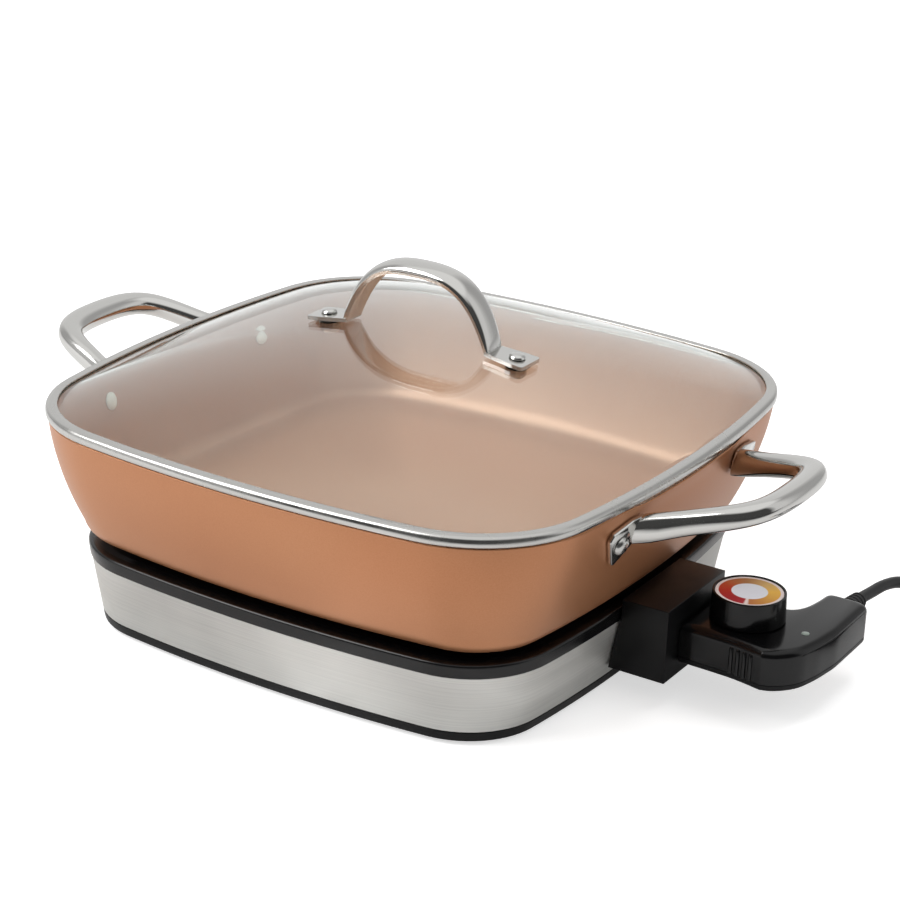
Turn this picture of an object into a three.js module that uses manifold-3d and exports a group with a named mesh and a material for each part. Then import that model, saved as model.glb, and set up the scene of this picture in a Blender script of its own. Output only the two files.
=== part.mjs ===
// Square electric skillet: a heated base, a lift-out pan, a domed glass lid and a plug-in
// heat control with its dial and cord. Millimetres, +Z up. X runs along the front to the
// control side, Y to the back, and the skillet stands on z = 0.

import * as THREE from 'three';
import { mergeVertices } from 'three/addons/utils/BufferGeometryUtils.js';
import Module from 'manifold-3d';

const wasm = await Module();
wasm.setup();

// Clearances
const gap = 0.3;                 // between pieces that touch
const runGap = 0.6;              // round a shank, pin or spindle in its hole
const overrun = 2;               // how far a cutter passes a face

// Base
const baseHalf = 130;            // half width at the lower edge
const baseCorner = 41;
const baseSide = 764;            // radius of the long bowed sides
const baseDraftShare = 0.171;    // how fast the base widens upwards
const footHeight = 3.2;
const footRadius = 10;
const footRound = 0.8;
const footInset = 38;
const trimLow = 2;
const trimTall = 5;
const trimWall = 3;
const trimFlange = 6;
const trimTongue = 4.6;
const tongueThick = 2;
const coverThick = 1.2;
const bandThick = 1;
const bandHigh = 37.5;
const rimTall = 7.5;
const rimProud = 0.6;            // how far the black rim stands past the steel band
const rimFlare = 1.3;            // and how far at its shoulder
const rimRound = 3.2;
const rimTongue = 3;
const rimSlope = 8;              // how far the rim's inner side slopes in
const shelfDrop = 0.8;
const shelfThick = 2;
const shelfLap = 10;

// Inside the base
const plateInset = 14;
const plateThick = 2.6;
const plateEdge = 0.6;
const elementRadius = 78;
const elementTube = 3.75;
const elementGapDegrees = 20;
const pinSpacing = 18;
const pinRadius = 2.2;
const pinHeight = 28.3;
const pinLength = 25;
const probeRadius = 2.6;
const sleeveWall = 1.2;
const sleeveLength = 48;
const shieldThick = 0.8;
const shieldInset = 9.5;
const postRadius = 4.5;
const postFootRadius = 6;
const postStep = 14;
const postInset = 19;
const postY = 62;
const postBoreDepth = 14;
const coverScrewShank = 1.5;
const coverScrewLength = 10;
const coverScrewHead = 3.4;
const coverScrewHeadThick = 1.2;
const ventLength = 44;
const ventWidth = 5;
const ventPitch = 18;
const ventCount = 5;

// Socket block on the control side
const blockDepth = 26.5;         // from the band to its outer face
const blockHalf = 30;
const blockLow = 12;
const blockTall = 38;
const blockNeckDepth = 6.5;      // how far the neck reaches in past the band
const blockNeckHalf = 22;
const blockNeckLow = 14;
const blockNeckTall = 20.2;
const blockNeckWall = 1.4;
const carrierThick = 4;
const mouthWall = 3;

// Pan
const panWall = 3;
const panFloorThick = 4.4;
const panFootInset = 4.6;        // from the rim's inner side to where the flat underside ends
const panSpread = 32.7;          // how far the lip stands out past the flat underside
const panTall = 63.8;
const panLipCorner = 65;
const panSide = 700;
const panRoll = 18;
const panRollCorner = 33;
const panWallCorner = 48.4;      // corner radius where the roll meets the wall
const panWallDegrees = 25;       // lean from upright at the foot of the wall
const panLipDegrees = 8;         // lean from upright at the lip
const spoutReach = 0.6;
const spoutDip = 1;
const spoutHalf = 47;
const spoutRun = 16;

// Side handles and their rivets
const rivetY = 65;
const rivetDrop = 15.7;          // below the pan's lip
const rivetShank = 2.6;
const rivetHead = 4.6;
const rivetHeadRise = 2.6;
const rivetTail = 4.4;
const rivetTailRise = 1.9;
const tabThick = 2.4;
const tabRise = 10.8;            // from the rivet to the tab's upper edge
const tabDrop = 11.6;            // from the rivet to its lowest corner
const tabFront = 9.4;            // from the rivet to the tab's free end
const tabBack = 17;              // from the rivet to the handle's leg
const legInset = 13.3;           // from the rivet to the leg's middle
const legRise = 2.6;
const gripReach = 55.4;
const gripRise = 16.6;
const gripDroop = 0.8;
const legHalfWide = 4.8;
const legHalfTall = 6.1;
const gripHalfWide = 7.1;
const gripHalfTall = 5.3;

// Lid
const lidOver = 1.3;             // how far its band stands out past the pan's lip
const lidBandThick = 0.9;
const lidBandTall = 5.6;
const lidBandWide = 6;
const lidBandRound = 0.8;
const glassThick = 3.4;
const domeRise = 29.9;
const domePowerShare = 2.4;      // how square the dome's section is
const lidHandleSpan = 55.7;      // screw places on either side
const lidHandleTall = 38.6;      // above the crown of the glass
const strapHalf = 9.1;
const strapThick = 2;
const strapCrown = 5.3;
const strapHollow = 3.8;
const strapFootShare = 0.77;     // its width at the bend, of the width at the top
const strapLean = 11;            // how far the arch leans in as it rises
const strapInset = 13.9;         // from the screw to the bend
const padEnd = 8;                // from the screw to the pad's tip
const washerRadius = 7.5;
const washerThick = 0.6;
const lidScrewShank = 2;
const lidScrewHead = 4.2;
const lidScrewHeadRise = 2;
const lidNutRadius = 5.5;
const lidNutTall = 4;
const lidNutRound = 1.6;

// Plug-in control
const caseLong = 65.5;
const caseDeep = 81;
const caseFront = 22;            // how far its plan reaches to the front of the pins
const caseDrop = 9.3;            // how far its underside lies below the pins
const caseTall = 20.8;
const caseSplit = 3;
const caseChamfer = 3.2;
const caseWall = 2.2;
const ridgeRadius = 1.2;
const noseLength = 34;
const noseInset = 18;            // from the case's end face to the nose's front
const noseHalf = 13.6;
const noseTall = 12.7;
const tongueHalf = 10.6;
const contactRadius = 3.3;
const contactLength = 16;
const probeLength = 84;
const bracketInset = 17.5;
const bracketLong = 23;
const bracketHalf = 8.6;
const bracketHigh = 30;
const bracketThick = 1.2;
const bladeThick = 0.5;
const bladeWide = 3.6;
const lensRadius = 1.9;
const lensFlange = 0.8;
const lensThick = 1.2;
const lensProud = 0.4;
const lensShare = 0.8236;        // how far along the case it sits
const lensY = 8;
const bossRadius = 3.2;
const bossDepth = 9;
const caseScrewShank = 1.2;
const caseScrewLength = 8;
const caseScrewHead = 2.4;
const caseScrewHeadThick = 1.3;

// Dial
const dialInset = 23.5;
const dialY = 7.6;
const dialLift = 0.5;
const dialRadius = 18.5;
const dialTopRadius = 17.9;
const dialTall = 14;
const dialRound = 0.7;
const dialFaceRadius = 16.6;
const dialFaceThick = 1;
const dialFaceSink = 0.6;
const dialCrownWall = 2;
const spindleRadius = 3;
const spindleLow = 25;

// Cord, its coil and its plug
const cordRadius = 3;
const reliefLength = 15;
const reliefFoot = 5.7;
const reliefTip = 4.4;
const reliefNeck = 4.3;
const reliefFlange = 5.2;
const reliefFlangeThick = 3;
const reliefShare = 0.8113;      // how far along the case it leaves
const reliefRise = 13;
const ribCount = 4;
const ribDepth = 0.7;
const cordInside = 9;
const coilX = 308;
const coilY = 105;
const coilLift = 0.1;
const coilInner = 32;
const coilTurns = 3.25;
const coilPitch = 6.7;
const coilLead = 8;
const coilTail = 46;
const plugLength = 34;
const plugHalfWide = 9;
const plugBore = 8;
const plugBladeSpacing = 12.7;
const plugBladeLength = 17.5;
const plugBladeHalf = 3.15;
const plugBladeThick = 1.5;
const plugBladeRoot = 8;

// The cord's way from the control down to the coil
const cordRoute = [[217.2, 87, 31.7], [219.6, 99, 32], [223.4, 110, 30.4], [230.5, 121, 25.4], [242, 131.5, 17.7],
  [258, 140, 9.5], [277, 145.8, 4.3]];

// Facets
const sideSteps = 3;
const cornerSteps = 5;
const roundSides = 12;
const footSides = 16;
const dialSides = 32;
const handleSteps = 22;
const handleSides = 10;
const cordSides = 8;
const cordSteps = 18;
const coilSides = 6;
const coilStepsPerTurn = 24;
const elementSteps = 32;

// Materials
const finish = (color, roughness, metalness) =>
  new THREE.MeshStandardMaterial({ color, roughness, metalness });
const brushedSteel = () => finish('#b4b4b1', 0.42, 1);
const polishedSteel = () => finish('#cfcdc9', 0.16, 1);
const plainSteel = () => finish('#9c9c9a', 0.5, 1);
const glossBlack = () => finish('#141414', 0.22, 0);
const satinBlack = () => finish('#1b1a1a', 0.5, 0);
const copper = () => finish('#c07f55', 0.38, 0.75);
const aluminium = () => finish('#a9aaac', 0.45, 1);
const whiteCoat = () => finish('#e9e6df', 0.4, 0);
const clearGlass = () => finish('#e6edea', 0.04, 0);
const rubber = () => finish('#2a2a2a', 0.8, 0);
const ceramic = () => finish('#d9d2c2', 0.7, 0);
const brass = () => finish('#b8974e', 0.35, 1);
const dialPrint = () => finish('#e6dcd2', 0.5, 0);
const lensPlastic = () => finish('#c9d8cf', 0.2, 0);

const alongX = new THREE.Vector3(1, 0, 0);
const alongY = new THREE.Vector3(0, 1, 0);
const upright = new THREE.Vector3(0, 0, 1);
const downward = new THREE.Vector3(0, 0, -1);
const { lerp, smoothstep, clamp, degToRad } = THREE.MathUtils;

// Turns a closed geometry into a solid for cutting and joining.
function solid(geometry) {
  const bare = geometry.clone();
  bare.deleteAttribute('normal');
  bare.deleteAttribute('uv');
  const merged = mergeVertices(bare);
  return new wasm.Manifold(new wasm.Mesh({
    numProp: 3,
    vertProperties: new Float32Array(merged.attributes.position.array),
    triVerts: new Uint32Array(merged.index.array),
  }));
}

// Turns a solid back into a geometry.
function geometryOf(body) {
  const mesh = body.getMesh();
  const geometry = new THREE.BufferGeometry();
  geometry.setAttribute('position', new THREE.BufferAttribute(mesh.vertProperties, mesh.numProp));
  geometry.setIndex(new THREE.BufferAttribute(mesh.triVerts, 1));
  return geometry;
}

const clean = (geometry) => geometryOf(solid(geometry));

function cut(geometry, cutters) {
  let body = solid(geometry);
  for (const cutter of cutters) body = body.subtract(solid(cutter));
  return geometryOf(body);
}

function join(geometries) {
  let body = solid(geometries[0]);
  for (const other of geometries.slice(1)) body = body.add(solid(other));
  return geometryOf(body);
}

// Triangles that fill a flat ring, seen along its own normal.
function capTriangles(ring) {
  const centre = ring.reduce((sum, p) => sum.add(p), new THREE.Vector3()).divideScalar(ring.length);
  const normal = new THREE.Vector3();
  ring.forEach((p, i) => {
    const next = ring[(i + 1) % ring.length];
    normal.add(p.clone().sub(centre).cross(next.clone().sub(centre)));
  });
  normal.normalize();
  const across = ring[0].clone().sub(centre).projectOnPlane(normal).normalize();
  const along = normal.clone().cross(across);
  const flat = ring.map((p) => {
    const place = p.clone().sub(centre);
    return new THREE.Vector2(place.dot(across), place.dot(along));
  });
  return THREE.ShapeUtils.triangulateShape(flat, []);
}

// Skins rings that hold the same number of points, each counter-clockwise about the way
// the list goes. A closed list joins its last ring to its first.
function loft(rings, closed = false) {
  const count = rings[0].length;
  const index = [];
  const bands = closed ? rings.length : rings.length - 1;
  for (let i = 0; i < bands; i++) {
    const low = i * count;
    const high = ((i + 1) % rings.length) * count;
    for (let j = 0; j < count; j++) {
      const k = (j + 1) % count;
      index.push(low + j, low + k, high + k, low + j, high + k, high + j);
    }
  }
  if (!closed) {
    const last = (rings.length - 1) * count;
    for (const [a, b, c] of capTriangles(rings[0])) index.push(a, c, b);
    for (const [a, b, c] of capTriangles(rings[rings.length - 1])) index.push(last + a, last + b, last + c);
  }
  const geometry = new THREE.BufferGeometry().setFromPoints(rings.flat());
  geometry.setIndex(index);
  return geometry;
}

// Points of a square with bowed sides, whose side arcs meet the corner arcs on common
// tangents. Counter-clockwise from the middle of the +X side.
function bowedSquare(half, corner, side) {
  const reach = side - half;
  const centre = (Math.sqrt(2 * (side - corner) ** 2 - reach ** 2) - reach) / 2;
  const turn = Math.atan2(centre, centre + reach);
  const quarter = [];
  for (let i = 0; i < sideSteps; i++) {
    const angle = turn * i / sideSteps;
    quarter.push([side * Math.cos(angle) - reach, side * Math.sin(angle)]);
  }
  for (let i = 0; i < cornerSteps; i++) {
    const angle = turn + (Math.PI / 2 - 2 * turn) * i / cornerSteps;
    quarter.push([centre + corner * Math.cos(angle), centre + corner * Math.sin(angle)]);
  }
  for (let i = sideSteps; i > 0; i--) {
    const angle = turn * i / sideSteps;
    quarter.push([side * Math.sin(angle), side * Math.cos(angle) - reach]);
  }
  return [
    ...quarter,
    ...quarter.map(([x, y]) => [-y, x]),
    ...quarter.map(([x, y]) => [-x, -y]),
    ...quarter.map(([x, y]) => [y, -x]),
  ];
}

const squareRing = (half, corner, side, z) =>
  bowedSquare(half, corner, side).map(([x, y]) => new THREE.Vector3(x, y, z));

// A turned piece from a profile of [radius, height], its axis upright.
function turned(profile, sides = roundSides) {
  const points = profile.map(([radius, height]) => new THREE.Vector2(radius, height));
  return clean(new THREE.LatheGeometry(points, sides).rotateX(Math.PI / 2));
}

const rod = (radius, low, high, sides = roundSides) =>
  turned([[0, low], [radius, low], [radius, high], [0, high]], sides);

const pipe = (radius, bore, low, high, sides = roundSides) =>
  turned([[bore, low], [radius, low], [radius, high], [bore, high], [bore, low]], sides);

// Profile of a domed head from its rim up to its crown.
function dome(radius, low, rise) {
  const steps = 3;
  const points = [];
  for (let i = 0; i < steps; i++) {
    const angle = Math.PI / 2 * i / steps;
    points.push([radius * Math.cos(angle), low + rise * Math.sin(angle)]);
  }
  return [...points, [0, low + rise]];
}

// The same below a seat, from the crown up to the rim.
const domeBelow = (radius, high, rise) =>
  dome(radius, 0, rise).reverse().map(([r, z]) => [r, high - z]);

function box(x0, x1, y0, y1, z0, z1) {
  const geometry = new THREE.BoxGeometry(x1 - x0, y1 - y0, z1 - z0);
  return geometry.translate((x0 + x1) / 2, (y0 + y1) / 2, (z0 + z1) / 2);
}

function ellipse(halfWide, halfTall, sides) {
  const points = [];
  for (let i = 0; i < sides; i++) {
    const angle = 2 * Math.PI * (i + 1 / 2) / sides;
    points.push([halfWide * Math.cos(angle), halfTall * Math.sin(angle)]);
  }
  return points;
}

// Frames along a list of points, with an up direction given for each.
function framesAlong(points, upAt) {
  return points.map((point, i) => {
    const before = points[Math.max(i - 1, 0)];
    const after = points[Math.min(i + 1, points.length - 1)];
    const along = after.clone().sub(before).normalize();
    const up = upAt(i).clone().projectOnPlane(along).normalize();
    return { point, along, up, across: up.clone().cross(along) };
  });
}

// Sweeps a section of [across, up] points along frames.
function sweep(frames, sectionAt) {
  return loft(frames.map((frame, i) => sectionAt(i).map(([a, u]) =>
    frame.point.clone().addScaledVector(frame.across, a).addScaledVector(frame.up, u))));
}

// A round tube through points, with its frames carried along without twist.
function tube(points, radius, sides) {
  const up = points[1].clone().sub(points[0]).cross(upright).normalize();
  const frames = framesAlong(points, () => up);
  for (const { along, up: rise, across } of frames) {
    rise.copy(up.projectOnPlane(along).normalize());
    across.copy(rise).cross(along);
  }
  return sweep(frames, () => ellipse(radius, radius, sides));
}

const turnTo = (direction) => new THREE.Quaternion().setFromUnitVectors(upright, direction);

// Lays a geometry made about the upright axis at a point, its axis along a direction.
const aim = (geometry, point, direction) => geometry.clone()
  .applyQuaternion(turnTo(direction)).translate(point.x, point.y, point.z);

const model = new THREE.Group();

function assembly(parent = model) {
  const group = new THREE.Group();
  parent.add(group);
  return group;
}

// Adds a named mesh, at a point and aimed along a direction if they are given.
function add(group, name, geometry, material, point, direction) {
  const mesh = new THREE.Mesh(geometry, material());
  mesh.name = name;
  if (point) mesh.position.copy(point);
  if (direction) mesh.quaternion.copy(turnTo(direction));
  group.add(mesh);
  return mesh;
}

const corners = [
  { name: 'front_left', sx: -1, sy: -1 },
  { name: 'front_right', sx: 1, sy: -1 },
  { name: 'rear_right', sx: 1, sy: 1 },
  { name: 'rear_left', sx: -1, sy: 1 },
];

// Base: heights and half widths that its pieces share

const baseLine = (z) => baseHalf + baseDraftShare * (z - trimLow);
const baseRing = (half, z) =>
  squareRing(half, baseCorner + half - baseHalf, baseSide + half - baseHalf, z);

const coverLow = footHeight + gap;
const coverHigh = coverLow + coverThick;
const trimFlangeLow = coverHigh + gap;
const trimHigh = trimLow + trimTall;
const rimLow = bandHigh + gap;
const rimHigh = bandHigh + rimTall;
const rimWallHalf = baseLine(bandHigh);
const rimShoulderHalf = rimWallHalf + rimFlare;
const shelfHalf = rimWallHalf - rimSlope;
const shelfHigh = rimHigh - shelfDrop;
const shelfLow = shelfHigh - shelfThick;
const plateHalf = shelfHalf - plateInset;
const plateLow = shelfHigh + gap;
const plateHigh = plateLow + plateThick;
const postX = shelfHalf - postInset;
const postLow = coverHigh + gap;
const postHigh = shelfLow - gap;

function bottomTrim() {
  const wallHalf = baseHalf - trimWall;
  const tongueOut = baseLine(trimHigh) - bandThick - gap;
  const tongueIn = tongueOut - tongueThick;
  const tongueHigh = trimHigh + trimTongue;
  return loft([
    baseRing(baseHalf, trimLow),
    baseRing(baseLine(trimHigh), trimHigh),
    baseRing(tongueOut, trimHigh),
    baseRing(tongueOut, tongueHigh),
    baseRing(tongueIn, tongueHigh),
    baseRing(tongueIn, trimHigh),
    baseRing(wallHalf - trimFlange, trimHigh),
    baseRing(wallHalf - trimFlange, trimFlangeLow),
    baseRing(wallHalf, trimFlangeLow),
    baseRing(wallHalf, trimLow),
  ], true);
}

const neckEnd = rimWallHalf - blockNeckDepth - bandThick;
const neckHigh = blockNeckLow + blockNeckTall;
const blockReach = rimWallHalf + blockDepth;

function steelBand() {
  const low = trimHigh + gap;
  const ring = loft([
    baseRing(baseLine(low), low),
    baseRing(baseLine(bandHigh), bandHigh),
    baseRing(baseLine(bandHigh) - bandThick, bandHigh),
    baseRing(baseLine(low) - bandThick, low),
  ], true);
  const window = box(neckEnd, blockReach, -blockNeckHalf - gap, blockNeckHalf + gap,
    blockNeckLow - gap, neckHigh + gap);
  return cut(ring, [window]);
}

function topRim() {
  const slant = rimRound * (1 - Math.SQRT1_2);
  const tongueLow = bandHigh - rimTongue;
  const tongueOut = baseLine(tongueLow) - bandThick - gap;
  const tongueIn = tongueOut - tongueThick;
  return loft([
    baseRing(rimWallHalf + rimProud, rimLow),
    baseRing(rimShoulderHalf, rimHigh - rimRound),
    baseRing(rimShoulderHalf - slant, rimHigh - slant),
    baseRing(rimShoulderHalf - rimRound, rimHigh),
    baseRing((rimWallHalf + shelfHalf) / 2, (rimHigh + shelfHigh) / 2),
    baseRing(shelfHalf, shelfHigh),
    baseRing(plateHalf - shelfLap, shelfHigh),
    baseRing(plateHalf - shelfLap, shelfLow),
    baseRing(tongueIn, shelfLow),
    baseRing(tongueIn, tongueLow),
    baseRing(tongueOut, tongueLow),
    baseRing(tongueOut, rimLow),
  ], true);
}

// A flat sheet that follows the base's outline, with holes cut through it.
function sheet(half, low, thick, cutters) {
  return cut(loft([baseRing(half, low), baseRing(half, low + thick)]), cutters);
}

function bottomCover() {
  const under = coverLow - overrun;
  const above = coverHigh + overrun;
  const holes = corners.map(({ sx, sy }) =>
    rod(coverScrewShank + gap, under, above).translate(sx * postX, sy * postY, 0));
  for (const side of [-1, 1]) {
    for (let i = 0; i < ventCount; i++) {
      const y = (i - (ventCount - 1) / 2) * ventPitch;
      holes.push(box(-ventLength / 2, ventLength / 2, -ventWidth / 2, ventWidth / 2, under, above)
        .translate(side * ventLength, y, 0));
    }
  }
  return sheet(baseHalf - trimWall - gap, coverLow, coverThick, holes);
}

function heatShield() {
  const low = postStep + gap;
  const holes = corners.map(({ sx, sy }) =>
    rod(postRadius + gap, low - overrun, low + shieldThick + overrun).translate(sx * postX, sy * postY, 0));
  return sheet(shelfHalf - shieldInset, low, shieldThick, holes);
}

const foot = () => turned([
  [0, 0], [footRadius - footRound, 0], [footRadius, footRound], [footRadius, footHeight], [0, footHeight],
], footSides);

// A post under the shelf, stepped for the heat shield and bored from below for its screw.
function post() {
  const bore = coverScrewShank + gap;
  const boreHigh = postLow + postBoreDepth;
  return turned([
    [0, boreHigh], [bore, boreHigh], [bore, postLow], [postFootRadius, postLow],
    [postFootRadius, postStep], [postRadius, postStep], [postRadius, postHigh], [0, postHigh],
  ]);
}

function coverScrew() {
  const seat = coverLow - gap;
  const low = seat - coverScrewHeadThick;
  return turned([
    [0, low], [coverScrewHead * 0.8, low], [coverScrewHead, low + coverScrewHeadThick / 2],
    [coverScrewHead, seat], [coverScrewShank, seat], [coverScrewShank, seat + coverScrewLength],
    [0, seat + coverScrewLength],
  ]);
}

const heatingPlate = () => loft([
  baseRing(plateHalf - plateEdge, plateLow),
  baseRing(plateHalf, plateLow + plateEdge),
  baseRing(plateHalf, plateHigh - plateEdge),
  baseRing(plateHalf - plateEdge, plateHigh),
]);

const carrierStart = neckEnd + gap;
const carrierEnd = carrierStart + carrierThick;
const pinStart = neckEnd - gap;

function roundShape(radius, sides) {
  const points = ellipse(radius, radius, sides).map(([x, y]) => new THREE.Vector2(x, y));
  return new THREE.Shape(points);
}

// The sheathed element goes round under the plate and both its ends run out to the socket.
function heatingElement() {
  const z = plateLow - gap - elementTube;
  const open = degToRad(elementGapDegrees);
  const legHalf = pinSpacing / 2;
  const kneeX = elementRadius + elementTube * 2;
  const dropX = kneeX + (z - pinHeight) * 2;
  const legEnd = pinStart - gap;
  const turns = 20;
  const ring = [];
  for (let i = 0; i <= turns; i++) {
    const angle = open + (2 * Math.PI - 2 * open) * i / turns;
    ring.push(new THREE.Vector3(elementRadius * Math.cos(angle), elementRadius * Math.sin(angle), z));
  }
  const leg = (side) => [
    new THREE.Vector3(legEnd, side * legHalf, pinHeight),
    new THREE.Vector3(legEnd - elementTube * 2, side * legHalf, pinHeight),
    new THREE.Vector3(dropX, side * legHalf, pinHeight),
    new THREE.Vector3(kneeX, side * (legHalf + elementTube / 2), lerp(z, pinHeight, 0.12)),
  ];
  const path = new THREE.CatmullRomCurve3([...leg(1), ...ring, ...leg(-1).reverse()], false, 'centripetal');
  return clean(new THREE.ExtrudeGeometry(roundShape(elementTube, cordSides), {
    steps: elementSteps, bevelEnabled: false, extrudePath: path,
  }));
}

const terminalPin = () => turned([
  [0, 0], [pinRadius, 0], [pinRadius, pinLength - pinRadius], [pinRadius / 2, pinLength], [0, pinLength],
]);

// The sleeve that takes the control's probe, shut at its inner end.
function probeSleeve() {
  const bore = probeRadius + runGap;
  const outer = bore + sleeveWall;
  return turned([
    [0, 0], [outer, 0], [outer, sleeveLength], [bore, sleeveLength], [bore, sleeveWall], [0, sleeveWall],
  ]);
}

// The control's nose and the case that it belongs to
const caseStart = blockReach + gap;
const caseLow = pinHeight - caseDrop;
const caseHigh = caseLow + caseTall;
const splitHigh = caseLow + caseSplit;
const noseStart = caseStart - noseInset;
const noseEnd = noseStart + noseLength;
const noseLow = splitHigh + gap;
const noseHigh = noseLow + noseTall;

const pinHole = (side, radius, start, end) => aim(rod(radius, 0, end - start),
  new THREE.Vector3(start, side * pinSpacing / 2, pinHeight), alongX);

// A box with an open mouth on its outer face and a neck that goes in through the band.
function socketBlock() {
  const high = blockLow + blockTall;
  const shape = new THREE.Shape();
  shape.moveTo(baseLine(blockLow) + gap, blockLow);
  shape.lineTo(blockReach, blockLow);
  shape.lineTo(blockReach, high);
  shape.lineTo(rimShoulderHalf + gap, high);
  shape.lineTo(rimShoulderHalf + gap, rimHigh - rimRound);
  shape.lineTo(rimWallHalf + rimProud + gap, bandHigh);
  shape.lineTo(rimWallHalf + gap, bandHigh);
  const bulk = new THREE.ExtrudeGeometry(shape, { depth: 2 * blockHalf, bevelEnabled: false })
    .rotateX(Math.PI / 2).translate(0, blockHalf, 0);
  const neck = box(neckEnd, blockReach - mouthWall, -blockNeckHalf, blockNeckHalf, blockNeckLow, neckHigh);
  const mouth = box(noseStart - gap, blockReach + overrun, -noseHalf - gap, noseHalf + gap,
    noseLow - gap, noseHigh + gap);
  const pocket = box(neckEnd - overrun, carrierEnd + gap, -noseHalf, noseHalf,
    noseLow, neckHigh - blockNeckWall);
  const ways = [-1, 1].map((side) => pinHole(side, pinRadius + runGap, carrierEnd, noseStart));
  const probeWay = pinHole(0, probeRadius + runGap, carrierEnd, noseStart);
  return cut(join([bulk, neck]), [mouth, pocket, ...ways, probeWay]);
}

// Insulating plate that carries the two pins in the socket's neck.
function pinCarrier() {
  const plate = box(carrierStart, carrierEnd, -noseHalf + gap, noseHalf - gap,
    noseLow + gap, neckHigh - blockNeckWall - gap);
  const holes = [-1, 1].map((side) => pinHole(side, pinRadius + gap, neckEnd, carrierEnd + overrun));
  const probeWay = pinHole(0, probeRadius + runGap, neckEnd, carrierEnd + overrun);
  return cut(plate, [...holes, probeWay]);
}

// Pan

const wallLean = degToRad(panWallDegrees);
const lipLean = degToRad(panLipDegrees);
const panLow = plateHigh + gap;
const panLipHigh = panLow + panTall;
const panRollHalf = shelfHalf - panFootInset;
const panLipHalf = panRollHalf + panSpread;
const rollHigh = panLow + panRoll * (1 - Math.sin(wallLean));

// Profile of the pan's outside: half width, height and outward normal at each place.
function panProfile() {
  const places = [];
  const rollSteps = 3;
  for (let i = 0; i < rollSteps; i++) {
    const angle = -Math.PI / 2 + (Math.PI / 2 - wallLean) * i / rollSteps;
    places.push({
      half: panRollHalf + panRoll * Math.cos(angle),
      z: panLow + panRoll * (1 + Math.sin(angle)),
      out: Math.cos(angle),
      rise: Math.sin(angle),
    });
  }
  const start = new THREE.Vector2(panRollHalf + panRoll * Math.cos(wallLean), rollHigh);
  const end = new THREE.Vector2(panLipHalf, panLipHigh);
  const up = new THREE.Vector2(Math.sin(wallLean), Math.cos(wallLean));
  const down = new THREE.Vector2(-Math.sin(lipLean), -Math.cos(lipLean));
  const reach = end.clone().sub(start).cross(down) / up.cross(down);
  const wall = new THREE.QuadraticBezierCurve(start, start.clone().addScaledVector(up, reach), end);
  const wallShares = [0, 0.2, 0.4, 0.6, 0.78, 0.93];
  for (const share of wallShares) {
    const point = wall.getPoint(share);
    const tangent = wall.getTangent(share);
    places.push({ half: point.x, z: point.y, out: tangent.y, rise: -tangent.x });
  }
  places.push({ half: panLipHalf, z: panLipHigh, out: 1, rise: 0 });
  return places;
}

function panCorner(z) {
  if (z < rollHigh) return lerp(panRollCorner, panWallCorner, (z - panLow) / (rollHigh - panLow));
  return lerp(panWallCorner, panLipCorner, (z - rollHigh) / (panLipHigh - rollHigh));
}

// A ring of the pan's wall, moved inwards from its outside by a wall.
function panRing(place, inwards) {
  const step = inwards * place.out;
  return squareRing(place.half - step, panCorner(place.z) - step, panSide - step, place.z - inwards * place.rise);
}

// The lip spreads and dips along both handle sides, which makes a shallow spout on each.
function spread(ring) {
  return ring.map((p) => {
    const along = smoothstep(spoutHalf + spoutRun - Math.abs(p.y), 0, spoutRun);
    const share = Math.abs(p.x) > Math.abs(p.y) ? along : 0;
    return new THREE.Vector3(p.x + Math.sign(p.x) * spoutReach * share, p.y, p.z - spoutDip * share);
  });
}

const panPlaces = panProfile();

// A place on the outside of the pan's wall on the +X side, with its directions.
function wallPlace(y, z) {
  let i = 1;
  while (i < panPlaces.length - 1 && panPlaces[i].z < z) i++;
  const low = panPlaces[i - 1];
  const high = panPlaces[i];
  const half = lerp(low.half, high.half, (z - low.z) / (high.z - low.z));
  const turn = Math.asin(y / panSide);
  const lean = Math.atan2(high.half - low.half, high.z - low.z);
  const point = new THREE.Vector3(half - panSide * (1 - Math.cos(turn)), y, z);
  const normal = new THREE.Vector3(Math.cos(lean) * Math.cos(turn), Math.cos(lean) * Math.sin(turn), -Math.sin(lean));
  const up = upright.clone().projectOnPlane(normal).normalize();
  return { point, normal, up, across: up.clone().cross(normal) };
}

const rivetZ = panLipHigh - rivetDrop;
const rivetSeats = [-1, 1].map((side) => wallPlace(side * rivetY, rivetZ));
const halfTurned = (v) => new THREE.Vector3(-v.x, -v.y, v.z);
const rivetPlaces = [
  { name: 'right_front', ...rivetSeats[0] },
  { name: 'right_rear', ...rivetSeats[1] },
  { name: 'left_rear', point: halfTurned(rivetSeats[0].point), normal: halfTurned(rivetSeats[0].normal) },
  { name: 'left_front', point: halfTurned(rivetSeats[1].point), normal: halfTurned(rivetSeats[1].normal) },
];

function panShell() {
  const last = panPlaces.length - 1;
  const floorHigh = panLow + panFloorThick;
  const outer = panPlaces.map((place) => panRing(place, 0));
  const inner = panPlaces.map((place) => panRing(place, panWall)).reverse();
  outer[last] = spread(outer[last]);
  inner[0] = spread(inner[0]);
  const floor = squareRing(panRollHalf, panRollCorner, panSide, floorHigh);
  const shell = loft([...outer, ...inner.filter((ring) => ring[0].z > floorHigh + gap), floor]);
  const holes = rivetPlaces.map(({ point, normal }) =>
    aim(rod(rivetShank + gap, -panWall * overrun, panWall), point, normal));
  return cut(shell, holes);
}

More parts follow.
